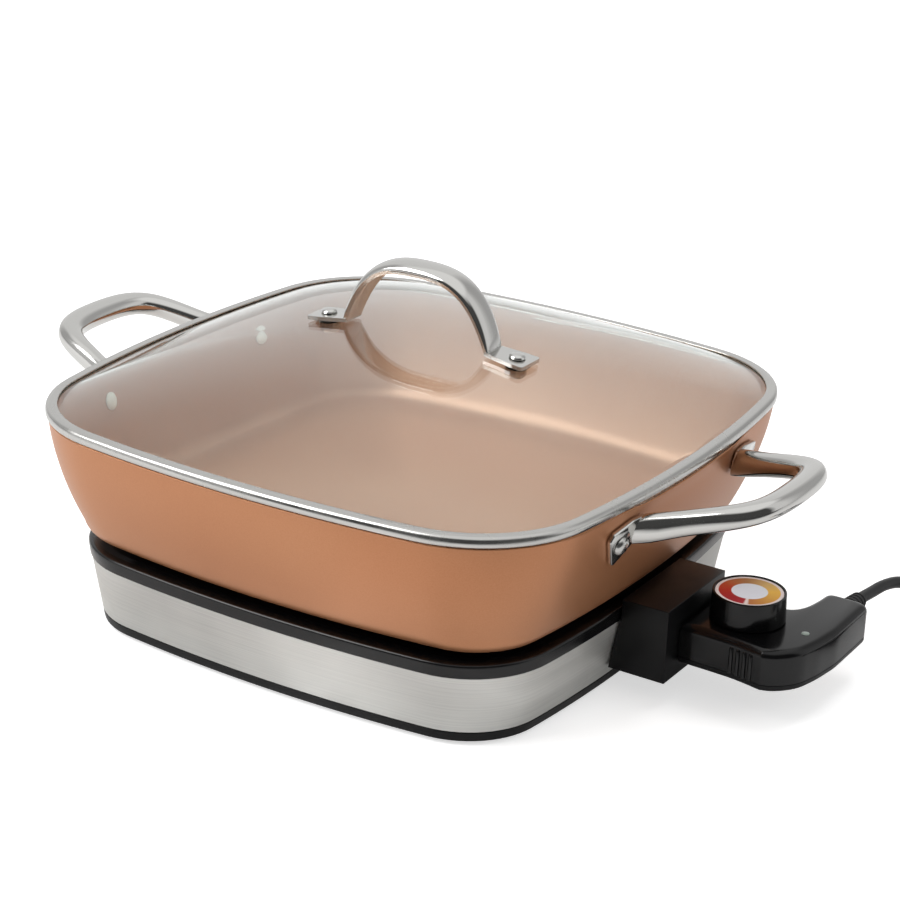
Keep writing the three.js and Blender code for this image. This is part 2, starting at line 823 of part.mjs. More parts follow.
// Flat tab that lies on the wall, blunt at its free end and drawn down to a corner under the rivet.
function handleTab(side) {
  const seat = rivetSeats[(side + 1) / 2];
  const outlineShares = [[1, 0.055], [1, 1], [0.41, 1], [-0.766, 0.74], [-1, 0.39], [-0.234, -1]];
  const outline = outlineShares.map(([a, u]) =>
    [a < 0 ? a * tabFront : a * tabBack, u < 0 ? u * tabDrop : u * tabRise]);
  const rings = [gap, gap + tabThick].map((rise) => outline.map(([a, u]) => seat.point.clone()
    .addScaledVector(seat.normal, rise)
    .addScaledVector(seat.across, -side * a)
    .addScaledVector(seat.up, u)));
  return loft(side > 0 ? rings.map((ring) => ring.reverse()) : rings);
}

// The right-hand handle: two tabs and a rounded grip that leaves them, rises and returns.
function sideHandle() {
  const legY = rivetY - legInset;
  const legZ = rivetZ + legRise;
  const seats = [1, -1].map((side) => wallPlace(side * legY, legZ));
  const start = seats[0].point.x + gap + tabThick / 2;
  const kneeShares = [0.759, 0.662];
  const shoulderShare = 0.852;
  const half = new THREE.CubicBezierCurve(
    new THREE.Vector2(0, legY), new THREE.Vector2(gripReach * kneeShares[0], legY * kneeShares[1]),
    new THREE.Vector2(gripReach, legY * shoulderShare), new THREE.Vector2(gripReach, 0));
  const plan = half.getPoints(handleSteps / 2).map((p) => [p.x, p.y]);
  const places = [...plan, ...plan.slice(0, -1).reverse().map(([u, y]) => [u, -y])];
  const points = places.map(([u, y]) => {
    const share = u / gripReach;
    return new THREE.Vector3(start + u, y, legZ + gripRise * share - gripDroop * share * share);
  });
  const tilt = Math.atan2(gripRise, gripReach);
  const up = new THREE.Vector3(-Math.sin(tilt), 0, Math.cos(tilt));
  const frames = framesAlong(points, () => up);
  [frames[0], frames[frames.length - 1]].forEach((frame, i) => {
    const seat = seats[i];
    frame.point = seat.point.clone().addScaledVector(seat.normal, gap + tabThick / 2);
    frame.up.copy(seat.up);
    frame.across.copy(seat.across).multiplyScalar(i === 0 ? 1 : -1);
  });
  const grip = sweep(frames, (i) => {
    const share = (places[i][0] / gripReach) ** 2;
    return ellipse(lerp(legHalfWide, gripHalfWide, share), lerp(legHalfTall, gripHalfTall, share), handleSides);
  });
  const holes = rivetSeats.map(({ point, normal }) =>
    aim(rod(rivetShank + gap, -panWall, panWall * overrun), point, normal));
  return cut(join([grip, handleTab(-1), handleTab(1)]), holes);
}

// Rivet through tab and wall: domed outside, a wide flat dome inside.
function rivet() {
  const outerSeat = gap + tabThick + gap;
  const innerSeat = -panWall - gap;
  return turned([
    ...domeBelow(rivetTail, innerSeat, rivetTailRise), [rivetShank, innerSeat], [rivetShank, outerSeat],
    ...dome(rivetHead, outerSeat, rivetHeadRise),
  ]);
}

// Lid

const lidHalf = panLipHalf + lidOver;
const lidLow = panLipHigh + gap;
const lidBandHigh = lidLow + lidBandTall;
const glassEdgeHalf = lidHalf - lidBandThick - gap;
const glassFlatHalf = lidHalf - lidBandWide - gap;
const glassEdgeLow = lidLow + lidBandThick + gap;
const glassEdgeHigh = lidBandHigh - lidBandThick - gap;
const lidRing = (half, z) => squareRing(half, panLipCorner + half - panLipHalf, panSide + half - panLipHalf, z);

// Rolled steel band: a channel that grips the edge of the glass.
function lidBand() {
  const inner = lidHalf - lidBandWide;
  const lining = lidHalf - lidBandThick;
  return loft([
    lidRing(lidHalf - lidBandRound, lidLow),
    lidRing(lidHalf, lidLow + lidBandRound),
    lidRing(lidHalf, lidBandHigh - lidBandRound),
    lidRing(lidHalf - lidBandRound, lidBandHigh),
    lidRing(inner, lidBandHigh),
    lidRing(inner, lidBandHigh - lidBandThick),
    lidRing(lining, lidBandHigh - lidBandThick),
    lidRing(lining, lidLow + lidBandThick),
    lidRing(inner, lidLow + lidBandThick),
    lidRing(inner, lidLow),
  ], true);
}

// Height of the glass's upper face at a distance from the middle along X or Y.
const domeHeight = (half) => glassEdgeHigh + domeRise * (1 - (half / glassFlatHalf) ** domePowerShare);

// A ring of the dome, whose corners grow rounder towards the crown.
function domeRing(share, drop) {
  const half = glassFlatHalf * share;
  const rimShare = (panLipCorner + glassFlatHalf - panLipHalf) / glassFlatHalf;
  return squareRing(half, half * lerp(1, rimShare, share), panSide * share, domeHeight(half) - drop);
}

// The glass is flat under each end of the handle, from the strap's bend to the pad's tip.
const seatInner = lidHandleSpan - strapInset - strapThick / 2;
const seatOuter = lidHandleSpan + padEnd;
const seatFall = domeHeight(seatInner) - domeHeight(seatOuter);
const seatLean = Math.atan(seatFall / (seatOuter - seatInner));
const seatHeight = domeHeight(seatOuter) + padEnd * Math.tan(seatLean);
const lidSeats = [-1, 1].map((side) => ({
  side,
  point: new THREE.Vector3(side * lidHandleSpan, 0, seatHeight),
  normal: new THREE.Vector3(side * Math.sin(seatLean), 0, Math.cos(seatLean)),
  across: new THREE.Vector3(side * Math.cos(seatLean), 0, -Math.sin(seatLean)),
}));

function lidGlass() {
  const rimShares = [1, 0.94, 0.86, 0.75, 0.6];
  const crownShare = 0.5;
  const seatShares = [seatOuter, seatInner, seatInner * crownShare].map((half) => half / glassFlatHalf);
  const shares = [...rimShares, ...seatShares];
  const top = shares.map((share) => domeRing(share, 0));
  const under = shares.map((share) => domeRing(share, glassThick)).reverse();
  const pane = loft([...under, lidRing(glassEdgeHalf, glassEdgeLow), lidRing(glassEdgeHalf, glassEdgeHigh), ...top]);
  const holes = lidSeats.map(({ point, normal }) =>
    aim(rod(lidScrewShank + gap, -glassThick * overrun, glassThick), point, normal));
  return cut(pane, holes);
}

const padLow = gap + washerThick + gap;
const lidNutHigh = -glassThick - gap;

// Section of the handle strap: a rounded back over a hollow underside.
function strapSection(half, crown, hollow) {
  const backShares = [1, 0.92, 0.7, 0.38, 0, -0.38, -0.7, -0.92, -1];
  const underShares = [-1, -0.85, -0.5, 0, 0.5, 0.85, 1];
  const edge = strapThick / 2;
  const back = backShares.map((s) => [s * half, edge + (crown - edge) * Math.sqrt(1 - s * s)]);
  const under = underShares.map((s) => [s * half, hollow * Math.sqrt(1 - s * s) - edge]);
  return [...back, ...under];
}

// Lid handle: an arch whose two ends are flat pads under the screws.
function lidHandle() {
  const bendX = lidHandleSpan - strapInset;
  const bendZ = seatHeight + padLow + strapThick / 2 + strapInset * Math.tan(seatLean);
  const archTop = glassEdgeHigh + domeRise + lidHandleTall - strapCrown;
  const half = new THREE.CubicBezierCurve(
    new THREE.Vector2(bendX, bendZ), new THREE.Vector2(bendX - strapLean, lerp(bendZ, archTop, 0.95)),
    new THREE.Vector2(bendX * 0.4, archTop), new THREE.Vector2(0, archTop));
  const plan = half.getPoints(handleSteps / 2).map((p) => [p.x, p.y]);
  const places = [...plan, ...plan.slice(0, -1).reverse().map(([x, z]) => [-x, z])];
  const points = places.map(([x, z]) => new THREE.Vector3(x, 0, z));
  const middle = new THREE.Vector3(0, 0, bendZ);
  const frames = framesAlong(points, (i) => points[i].clone().sub(middle));
  const arch = sweep(frames, (i) => {
    const share = Math.sqrt(Math.sin(Math.PI * i / (places.length - 1)));
    const wide = lerp(strapFootShare, 1, share);
    return strapSection(strapHalf * wide, lerp(strapThick, strapCrown, share), strapHollow * share);
  });
  const padShares = [
    [-1, -strapFootShare], [0.1, -1], [0.88, -1], [1, -0.86], [1, 0.86], [0.88, 1], [0.1, 1], [-1, strapFootShare],
  ];
  const padInner = strapInset + strapThick / 2;
  const outline = padShares.map(([a, b]) => [a < 0 ? a * padInner : a * padEnd, b * strapHalf]);
  const pads = lidSeats.map(({ side, point, normal, across }) =>
    loft([padLow, padLow + strapThick].map((lift) => outline.map(([a, b]) => point.clone()
      .addScaledVector(normal, lift).addScaledVector(across, a).addScaledVector(alongY, side * b)))));
  const holes = lidSeats.map(({ point, normal }) =>
    aim(rod(lidScrewShank + gap, 0, padLow + strapThick * overrun), point, normal));
  return cut(join([arch, ...pads]), holes);
}

function lidScrew() {
  const seat = padLow + strapThick + gap;
  const tail = lidNutHigh - lidNutTall + gap;
  return turned([
    [0, tail], [lidScrewShank, tail], [lidScrewShank, seat], ...dome(lidScrewHead, seat, lidScrewHeadRise),
  ]);
}

const lidWasher = () => pipe(washerRadius, lidScrewShank + gap, gap, gap + washerThick);

// Cap nut under the glass, bored from above.
function lidNut() {
  const bore = lidScrewShank + gap;
  const floor = lidNutHigh - lidNutTall;
  return turned([
    ...domeBelow(lidNutRadius, floor, lidNutRound), [lidNutRadius, lidNutHigh], [bore, lidNutHigh],
    [bore, floor], [0, floor],
  ]);
}

// Control

// Plan of the control's case: a head at the socket and a leg that turns to the back.
const casePlanShares = [
  [0, 0.052], [0.307, 0.046], [0.444, 0.04], [0.536, 0.028], [0.627, 0.014], [0.704, 0.001], [0.766, 0.021],
  [0.847, 0.078], [0.887, 0.121], [0.927, 0.17], [0.947, 0.247], [0.983, 0.37], [1, 0.519], [0.995, 0.889],
  [0.986, 0.963], [0.969, 0.989], [0.937, 1], [0.705, 1], [0.672, 0.99], [0.658, 0.965], [0.641, 0.889],
  [0.629, 0.802], [0.606, 0.728], [0.571, 0.674], [0.513, 0.64], [0.444, 0.63], [0, 0.63],
];
const ridgeShares = [[0.434, 0.04], [0.491, 0.034], [0.546, 0.027], [0.601, 0.018]];
const caseScrewShares = [[0.14, 0.535], [0.816, 0.738]];
const onCase = ([x, y]) => new THREE.Vector2(caseStart + x * caseLong, y * caseDeep - caseFront);
const caseOutline = casePlanShares.map(onCase);
const caseScrewPlaces = caseScrewShares.map(onCase);
const caseEnd = caseDeep - caseFront;
const dialX = caseStart + dialInset;
const dialAxis = new THREE.Vector3(dialX, dialY, 0);
const reliefX = caseStart + caseLong * reliefShare;
const lensX = caseStart + caseLong * lensShare;
const reliefZ = caseLow + reliefRise;

// Moves a counter-clockwise outline inwards by one distance.
function inset(points, distance) {
  return points.map((point, i) => {
    const before = points[(i + points.length - 1) % points.length];
    const after = points[(i + 1) % points.length];
    const a = point.clone().sub(before).normalize();
    const b = after.clone().sub(point).normalize();
    const left = new THREE.Vector2(-a.y - b.y, a.x + b.x).normalize();
    return point.clone().addScaledVector(left, distance / left.dot(new THREE.Vector2(-a.y, a.x)));
  });
}

const planRing = (points, z) => points.map((p) => new THREE.Vector3(p.x, p.y, z));

// Upper case: a shell with finger ridges in front and screw bosses inside.
function caseUpper() {
  const low = splitHigh + gap;
  const ceiling = caseHigh - caseWall;
  const shell = loft([
    planRing(caseOutline, low),
    planRing(caseOutline, caseHigh - caseChamfer),
    planRing(inset(caseOutline, caseChamfer * 0.75), caseHigh),
  ]);
  const inner = inset(caseOutline, caseWall);
  const hollow = loft([planRing(inner, low - overrun), planRing(inner, ceiling)]);
  const ridges = ridgeShares.map(onCase).map((p) =>
    rod(ridgeRadius, low, caseHigh - caseChamfer).translate(p.x, p.y, 0));
  const bosses = caseScrewPlaces.map((p) => rod(bossRadius, low, ceiling + caseWall / 2).translate(p.x, p.y, 0));
  const hollowed = cut(join([shell, ...ridges]), [hollow]);
  const noseWay = box(caseStart - overrun, caseStart + caseWall + overrun, -tongueHalf - gap, tongueHalf + gap,
    low - overrun, noseHigh + gap);
  const spindleWay = rod(spindleRadius + runGap, ceiling - overrun, caseHigh + overrun).translate(dialX, dialY, 0);
  const lensWay = rod(lensRadius + gap, ceiling - overrun, caseHigh + overrun)
    .translate(lensX, lensY, 0);
  const reliefWay = aim(rod(reliefNeck + gap, -caseWall - overrun, overrun),
    new THREE.Vector3(reliefX, caseEnd, reliefZ), alongY);
  const bores = caseScrewPlaces.map((p) =>
    rod(caseScrewShank + gap, low - overrun, low + bossDepth).translate(p.x, p.y, 0));
  return cut(join([hollowed, ...bosses]), [noseWay, spindleWay, lensWay, reliefWay, ...bores]);
}

const caseScrewSeat = caseLow + caseScrewHeadThick + gap;

function caseLower() {
  const bevel = caseChamfer / 2;
  const plate = loft([
    planRing(inset(caseOutline, bevel), caseLow),
    planRing(caseOutline, caseLow + bevel),
    planRing(caseOutline, splitHigh),
  ]);
  const holes = caseScrewPlaces.flatMap((p) => [
    rod(caseScrewShank + gap, caseLow - overrun, splitHigh + overrun).translate(p.x, p.y, 0),
    rod(caseScrewHead + gap, caseLow - overrun, caseScrewSeat).translate(p.x, p.y, 0),
  ]);
  return cut(plate, holes);
}

function caseScrew() {
  const seat = caseScrewSeat - gap;
  return turned([
    [0, seat - caseScrewHeadThick], [caseScrewHead, seat - caseScrewHeadThick], [caseScrewHead, seat],
    [caseScrewShank, seat], [caseScrewShank, seat + caseScrewLength], [0, seat + caseScrewLength],
  ]);
}

// Nose block that enters the socket, with a tongue held in the case.
function controlNose() {
  const front = box(noseStart, caseStart - gap, -noseHalf, noseHalf, noseLow, noseHigh);
  const tongue = box(noseStart + overrun, noseEnd, -tongueHalf, tongueHalf, noseLow, noseHigh);
  const contactWays = [-1, 1].map((side) =>
    pinHole(side, contactRadius + gap, noseStart - overrun, noseStart + contactLength + gap));
  const probeWay = pinHole(0, probeRadius + gap, noseStart - overrun, noseEnd + overrun);
  return cut(join([front, tongue]), [...contactWays, probeWay]);
}

const contactSleeve = () => pipe(contactRadius, pinRadius + gap, 0, contactLength);

function probe() {
  const tip = probeRadius;
  return turned([[0, 0], [tip / 2, 0], [probeRadius, tip], [probeRadius, probeLength], [0, probeLength]]);
}

// Bracket across the case that steadies the spindle and carries the switch blade.
function bracket() {
  const start = caseStart + bracketInset;
  const end = start + bracketLong;
  const low = splitHigh + gap;
  const front = dialY - bracketHalf;
  const back = dialY + bracketHalf;
  const top = box(start, end, front, back, bracketHigh - bracketThick, bracketHigh);
  const legs = [start, end - bracketThick].map((x) => box(x, x + bracketThick, front, back, low, bracketHigh));
  const way = rod(spindleRadius + runGap, bracketHigh - overrun, bracketHigh + overrun)
    .translate(dialX, dialY, 0);
  return cut(join([top, ...legs]), [way]);
}

function switchBlade() {
  const start = caseStart + bracketInset + bracketThick;
  const y = dialY + bracketHalf - bladeWide;
  const low = bracketHigh + gap;
  return box(start, start + bracketLong - 2 * bracketThick, y, y + bladeWide, low, low + bladeThick);
}

function pilotLens() {
  const seat = caseHigh - caseWall - gap;
  return turned([
    [0, seat - lensThick], [lensRadius + lensFlange, seat - lensThick], [lensRadius + lensFlange, seat],
    [lensRadius, seat], [lensRadius, caseHigh + lensProud], [0, caseHigh + lensProud],
  ]);
}

// Dial

const dialLow = caseHigh + dialLift;
const dialHigh = dialLow + dialTall;
const dialFaceLow = dialHigh - dialFaceSink - dialFaceThick;
const dialBoreHigh = dialFaceLow - gap - dialCrownWall;

function dialKnob() {
  const bore = spindleRadius + gap;
  const recess = dialFaceRadius + gap;
  return turned([
    [0, dialBoreHigh], [bore, dialBoreHigh], [bore, dialLow], [dialRadius, dialLow],
    [dialTopRadius, dialHigh - dialRound], [dialTopRadius - dialRound, dialHigh],
    [recess, dialHigh], [recess, dialFaceLow - gap], [0, dialFaceLow - gap],
  ], dialSides);
}

const dialFace = () => rod(dialFaceRadius, dialFaceLow, dialFaceLow + dialFaceThick, dialSides);
const dialSpindle = () => rod(spindleRadius, spindleLow, dialBoreHigh - gap);

// Cord

// Strain relief: a flange inside the case, a neck through its wall and a ribbed taper.
function strainRelief() {
  const bore = cordRadius + gap;
  const inner = -caseWall - gap;
  const pitch = reliefLength / (ribCount + 1 / 2);
  const ribs = [];
  for (let i = 0; i < ribCount; i++) {
    const radius = lerp(reliefFoot, reliefTip, i / ribCount);
    const y = gap + pitch * i;
    ribs.push([radius, y], [radius, y + pitch / 2], [radius - ribDepth, y + pitch / 2], [radius - ribDepth, y + pitch]);
  }
  return turned([
    [bore, inner - reliefFlangeThick], [reliefFlange, inner - reliefFlangeThick], [reliefFlange, inner],
    [reliefNeck, inner], [reliefNeck, gap], ...ribs, [reliefTip, gap + pitch * ribCount],
    [reliefTip, reliefLength], [bore, reliefLength], [bore, inner - reliefFlangeThick],
  ]);
}

// Way of the coil's middle line: inwards on the floor layer, up, and outwards on the next.
function coilPoints() {
  const low = cordRadius + coilLift;
  const middle = coilTurns / 2;
  const steps = coilTurns * coilStepsPerTurn;
  const loops = [];
  for (let i = 0; i <= steps; i++) {
    const turn = coilTurns * i / steps;
    const radius = coilInner + coilPitch * Math.abs(turn - middle);
    const climb = clamp((turn - middle) * 2 + 1 / 2, 0, 1);
    const angle = Math.PI / 2 - 2 * Math.PI * turn;
    loops.push(new THREE.Vector3(
      coilX + radius * Math.cos(angle), coilY + radius * Math.sin(angle), low + coilPitch * climb));
  }
  const first = loops[0];
  const last = loops[loops.length - 1];
  return [
    new THREE.Vector3(first.x - coilLead, first.y, first.z),
    ...loops,
    new THREE.Vector3(last.x, last.y - coilLead, last.z),
    new THREE.Vector3(last.x, last.y - coilTail + plugBore, last.z),
    new THREE.Vector3(last.x, last.y - coilTail - plugBore + gap, last.z),
  ];
}

// Least gap between places of a tube that lie further apart along it than a few diameters.
function leastGap(points, radius) {
  const way = [0];
  for (let i = 1; i < points.length; i++) way.push(way[i - 1] + points[i].distanceTo(points[i - 1]));
  let least = Infinity;
  for (let i = 0; i < points.length; i++) {
    for (let j = i + 1; j < points.length; j++) {
      if (way[j] - way[i] > radius * 8) least = Math.min(least, points[i].distanceTo(points[j]));
    }
  }
  return least - 2 * radius;
}

const coilWay = coilPoints();
console.log(`Least gap in the coil: ${leastGap(coilWay, cordRadius).toFixed(2)} mm`);

function freeCordPoints() {
  const start = new THREE.Vector3(reliefX, caseEnd - cordInside, reliefZ);
  const out = new THREE.Vector3(reliefX, caseEnd + reliefLength + cordRadius, reliefZ);
  const end = coilWay[0].clone().addScaledVector(alongX, -gap);
  const beforeEnd = end.clone().addScaledVector(alongX, -2 * cordRadius);
  const route = cordRoute.map(([x, y, z]) => new THREE.Vector3(x, y, z));
  const curve = new THREE.CatmullRomCurve3([out, ...route, beforeEnd], false, 'centripetal');
  return [start, ...curve.getSpacedPoints(cordSteps), end];
}

// Plug: a neck that swells to a flat body, standing on the floor at the coil's upper end.
const coilEnd = coilWay[coilWay.length - 1];
const backward = new THREE.Vector3(0, -1, 0);
const plugStart = new THREE.Vector3(coilEnd.x, coilEnd.y + plugBore - gap, coilEnd.z);
const plugHalfTall = coilEnd.z - coilLift;
const plugBladeShare = plugBladeSpacing / 2;

function plugBody() {
  const formShares = [[0, 0.56, 0.46, 1], [0.18, 0.6, 0.5, 1], [0.42, 0.95, 0.97, 0.6], [0.9, 1, 1, 0.5],
    [1, 0.92, 0.94, 0.5]];
  const rings = formShares.map(([z, wide, tall, round]) => ellipse(1, 1, footSides).map(([a, u]) =>
    new THREE.Vector3(
      Math.sign(a) * Math.abs(a) ** round * wide * plugHalfWide,
      Math.sign(u) * Math.abs(u) ** round * tall * plugHalfTall,
      z * plugLength)));
  const slots = [-1, 1].map((side) => plugBlade(side, gap));
  const body = cut(loft(rings), [rod(cordRadius + gap, -overrun, plugBore), ...slots]);
  return aim(body, plugStart, backward);
}

// A blade of the plug, grown by a clearance where it is used to cut its own slot.
function plugBlade(side, grow = 0) {
  const middle = side * plugBladeShare;
  const half = plugBladeThick / 2 + grow;
  return box(-plugBladeHalf - grow, plugBladeHalf + grow, middle - half, middle + half,
    plugLength - plugBladeRoot - grow, plugLength + plugBladeLength);
}

// Assembly

const base = assembly();
for (const { name, sx, sy } of corners) {
  const place = baseHalf - footInset;
  add(base, `foot_${name}`, foot(), rubber, new THREE.Vector3(sx * place, sy * place, 0));
}
add(base, 'bottom_cover', bottomCover(), plainSteel);
add(base, 'bottom_trim', bottomTrim(), satinBlack);
add(base, 'steel_band', steelBand(), brushedSteel);
add(base, 'top_rim', topRim(), glossBlack);
add(base, 'heating_plate', heatingPlate(), aluminium);
add(base, 'heating_element', heatingElement(), plainSteel);
add(base, 'heat_shield', heatShield(), plainSteel);
for (const { name, sx, sy } of corners) {
  const place = new THREE.Vector3(sx * postX, sy * postY, 0);
  add(base, `post_${name}`, post(), plainSteel, place);
  add(base, `cover_screw_${name}`, coverScrew(), plainSteel, place);
}
add(base, 'socket_block', socketBlock(), satinBlack);
add(base, 'pin_carrier', pinCarrier(), ceramic);
add(base, 'probe_sleeve', probeSleeve(), aluminium, new THREE.Vector3(neckEnd - sleeveLength, 0, pinHeight), alongX);
add(base, 'pin_front', terminalPin(), polishedSteel, new THREE.Vector3(pinStart, -pinSpacing / 2, pinHeight), alongX);
add(base, 'pin_rear', terminalPin(), polishedSteel, new THREE.Vector3(pinStart, pinSpacing / 2, pinHeight), alongX);

const pan = assembly();
add(pan, 'pan_shell', panShell(), copper);
add(pan, 'handle_right', sideHandle(), polishedSteel);
add(pan, 'handle_left', sideHandle(), polishedSteel).rotation.z = Math.PI;
for (const { name, point, normal } of rivetPlaces) {
  add(pan, `rivet_${name}`, rivet(), whiteCoat, point, normal);
}

const lid = assembly();
add(lid, 'lid_glass', lidGlass(), clearGlass);
add(lid, 'lid_band', lidBand(), brushedSteel);
add(lid, 'lid_handle', lidHandle(), polishedSteel);
for (const { side, point, normal } of lidSeats) {
  const name = side < 0 ? 'left' : 'right';
  add(lid, `lid_screw_${name}`, lidScrew(), polishedSteel, point, normal);
  add(lid, `lid_washer_${name}`, lidWasher(), rubber, point, normal);
  add(lid, `lid_nut_${name}`, lidNut(), plainSteel, point, normal);
}

const control = assembly();
add(control, 'control_case', caseUpper(), satinBlack);
add(control, 'control_cover', caseLower(), satinBlack);
add(control, 'control_nose', controlNose(), satinBlack);
const contactPlace = (side) => new THREE.Vector3(noseStart, side * pinSpacing / 2, pinHeight);
add(control, 'contact_front', contactSleeve(), brass, contactPlace(-1), alongX);
add(control, 'contact_rear', contactSleeve(), brass, contactPlace(1), alongX);
add(control, 'probe_rod', probe(), plainSteel, new THREE.Vector3(noseEnd - probeLength, 0, pinHeight), alongX);
add(control, 'spindle_bracket', bracket(), plainSteel);
add(control, 'switch_blade', switchBlade(), brass);
add(control, 'pilot_lens', pilotLens(), lensPlastic, new THREE.Vector3(lensX, lensY, 0));
add(control, 'strain_relief', strainRelief(), rubber, new THREE.Vector3(reliefX, caseEnd, reliefZ), alongY);
caseScrewPlaces.forEach((p, i) => {
  add(control, `case_screw_${i + 1}`, caseScrew(), plainSteel, new THREE.Vector3(p.x, p.y, 0));
});

const dial = assembly(control);
dial.position.copy(dialAxis);
add(dial, 'dial_knob', dialKnob(), satinBlack);
add(dial, 'dial_face', dialFace(), dialPrint);
add(dial, 'dial_spindle', dialSpindle(), polishedSteel);

const cord = assembly(control);
add(cord, 'cord', tube(freeCordPoints(), cordRadius, cordSides), rubber);
add(cord, 'cord_coil', tube(coilWay, cordRadius, coilSides), rubber);
add(cord, 'plug_body', plugBody(), rubber);
add(cord, 'plug_blade_lower', aim(plugBlade(-1), plugStart, backward), brass);
add(cord, 'plug_blade_upper', aim(plugBlade(1), plugStart, backward), brass);

// The part's origin lies under the middle of its box, the cord and plug left aside.
const bounds = new THREE.Box3();
control.remove(cord);
bounds.setFromObject(model, true);
control.add(cord);
const centre = bounds.getCenter(new THREE.Vector3());
model.position.set(-centre.x, -centre.y, -bounds.min.z);

export default model;
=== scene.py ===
"""Square electric skillet, dressed round its CAD solids.

Every size is in millimetres in the base's own frame: the middle of the base is x = y = 0, the
worktop is z = 0, X runs towards the heat control and Y to the back. A Blank turns such a shape
into a piece in metres where the CAD solids are.
"""

import logging
import math
from collections.abc import Callable, Iterable, Sequence
from dataclasses import dataclass, field
from enum import Enum

import bmesh
import bpy
from bmesh.types import BMEdge, BMFace, BMVert
from bpy.types import Material, NodeSocket
from mathutils import Matrix, Vector


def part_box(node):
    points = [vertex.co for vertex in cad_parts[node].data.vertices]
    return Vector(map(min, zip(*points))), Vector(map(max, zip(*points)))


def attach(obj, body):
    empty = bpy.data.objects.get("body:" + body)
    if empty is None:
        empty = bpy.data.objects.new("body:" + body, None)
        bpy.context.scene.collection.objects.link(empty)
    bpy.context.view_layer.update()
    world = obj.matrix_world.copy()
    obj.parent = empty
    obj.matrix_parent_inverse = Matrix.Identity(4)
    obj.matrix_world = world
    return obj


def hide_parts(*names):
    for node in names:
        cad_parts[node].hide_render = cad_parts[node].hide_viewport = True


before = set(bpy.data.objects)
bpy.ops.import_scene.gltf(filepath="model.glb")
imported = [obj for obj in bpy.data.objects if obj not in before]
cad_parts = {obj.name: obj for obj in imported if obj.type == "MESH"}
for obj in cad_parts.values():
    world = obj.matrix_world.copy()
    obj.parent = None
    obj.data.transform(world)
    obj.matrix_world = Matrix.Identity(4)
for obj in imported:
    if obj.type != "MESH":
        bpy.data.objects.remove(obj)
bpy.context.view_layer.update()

logging.basicConfig(level=logging.INFO, format="%(name)s: %(message)s")
log = logging.getLogger("skillet")

MM = 0.001
FULL_TURN = 2 * math.pi
UP = Vector((0, 0, 1))
ALONG_X = Vector((1, 0, 0))
ALONG_Y = Vector((0, 1, 0))

SIDE_STEPS = 10
CORNER_STEPS = 14
WELD = 5e-3
RING_WELD = 0.02

Point2 = tuple[float, float]
Point3 = tuple[float, float, float]
Corner2 = tuple[float, float, float]
Place = tuple[float, float, float, float]


def base_middle() -> Vector:
    """Gives the base's middle on the worktop in the row frame, in metres."""
    low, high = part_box("top_rim")
    return Vector(((low.x + high.x) / 2, (low.y + high.y) / 2, 0))


MIDDLE = base_middle()


class Body(Enum):
    """The bodies that pieces ride on."""

    BASE = "base"
    PAN = "pan"
    LID = "lid"
    CONTROL = "control"
    DIAL = "dial"


# Curves


def mix(a: float, b: float, share: float) -> float:
    """Blends two numbers by a share."""
    return a + (b - a) * share


def ease(value: float) -> float:
    """Eases a value clamped to 0..1 in and out."""
    value = min(max(value, 0.0), 1.0)
    return value * value * (3 - 2 * value)


def bezier(knots: Sequence[Vector], share: float) -> Vector:
    """Gives the point of a Bezier curve at a share of its way."""
    while len(knots) > 1:
        knots = [a.lerp(b, share) for a, b in zip(knots, knots[1:])]
    return knots[0]


def there_and_back(knots: Sequence[Vector], steps: int, flip: Point2) -> list[Vector]:
    """Runs along a flat Bezier curve and back along its mirror image.

    Args:
        knots: The curve's knots, the last one on the mirror line.
        steps: Segments in the curve.
        flip: Signs of the mirror image's two axes.

    Returns:
        The points.
    """
    half = [bezier(knots, k / steps) for k in range(steps + 1)]
    return half + [Vector((p.x * flip[0], p.y * flip[1])) for p in reversed(half[:-1])]


def framed(spots: Sequence[Vector], ups: Sequence[Vector]) -> list[list[Vector]]:
    """Gives each point of a path with directions up and across, square to the path.

    Args:
        spots: The path's points.
        ups: About which way is up at each.

    Returns:
        Each point, its up and its across.
    """
    frames = []
    for i, (spot, up) in enumerate(zip(spots, ups)):
        along = (spots[min(i + 1, len(spots) - 1)] - spots[max(i - 1, 0)]).normalized()
        rise = (up - along * up.dot(along)).normalized()
        frames.append([spot, rise, rise.cross(along)])
    return frames


def squared_circle(count: int, roundness: float) -> list[Point2]:
    """Gives points round a unit circle that a roundness below 1 squares off."""
    points = []
    for k in range(count):
        angle = FULL_TURN * (k + 0.5) / count
        points.append(tuple(math.copysign(abs(c) ** roundness, c)
                            for c in (math.cos(angle), math.sin(angle))))
    return points


def filleted(corners: Sequence[Corner2], closed: bool = True, steps: int = 4) -> list[Point2]:
    """Rounds the corners of a flat outline.

    Args:
        corners: Each corner as x, y and its radius, 0 for a sharp one.
        closed: Whether the last corner joins the first.
        steps: Segments in each rounded corner.

    Returns:
        The outline's points.
    """
    longest_run = 0.49
    points: list[Point2] = []
    for i, (x, y, radius) in enumerate(corners):
        here = Vector((x, y))
        if radius <= 0 or (not closed and i in (0, len(corners) - 1)):
            points.append((x, y))
            continue
        before = Vector(corners[i - 1][:2]) - here
        after = Vector(corners[(i + 1) % len(corners)][:2]) - here
        run = min(radius / math.tan(before.angle(after) / 2),
                  before.length * longest_run, after.length * longest_run)
        knots = here + before.normalized() * run, here, here + after.normalized() * run
        points += [tuple(bezier(knots, k / steps)) for k in range(steps + 1)]
    return points


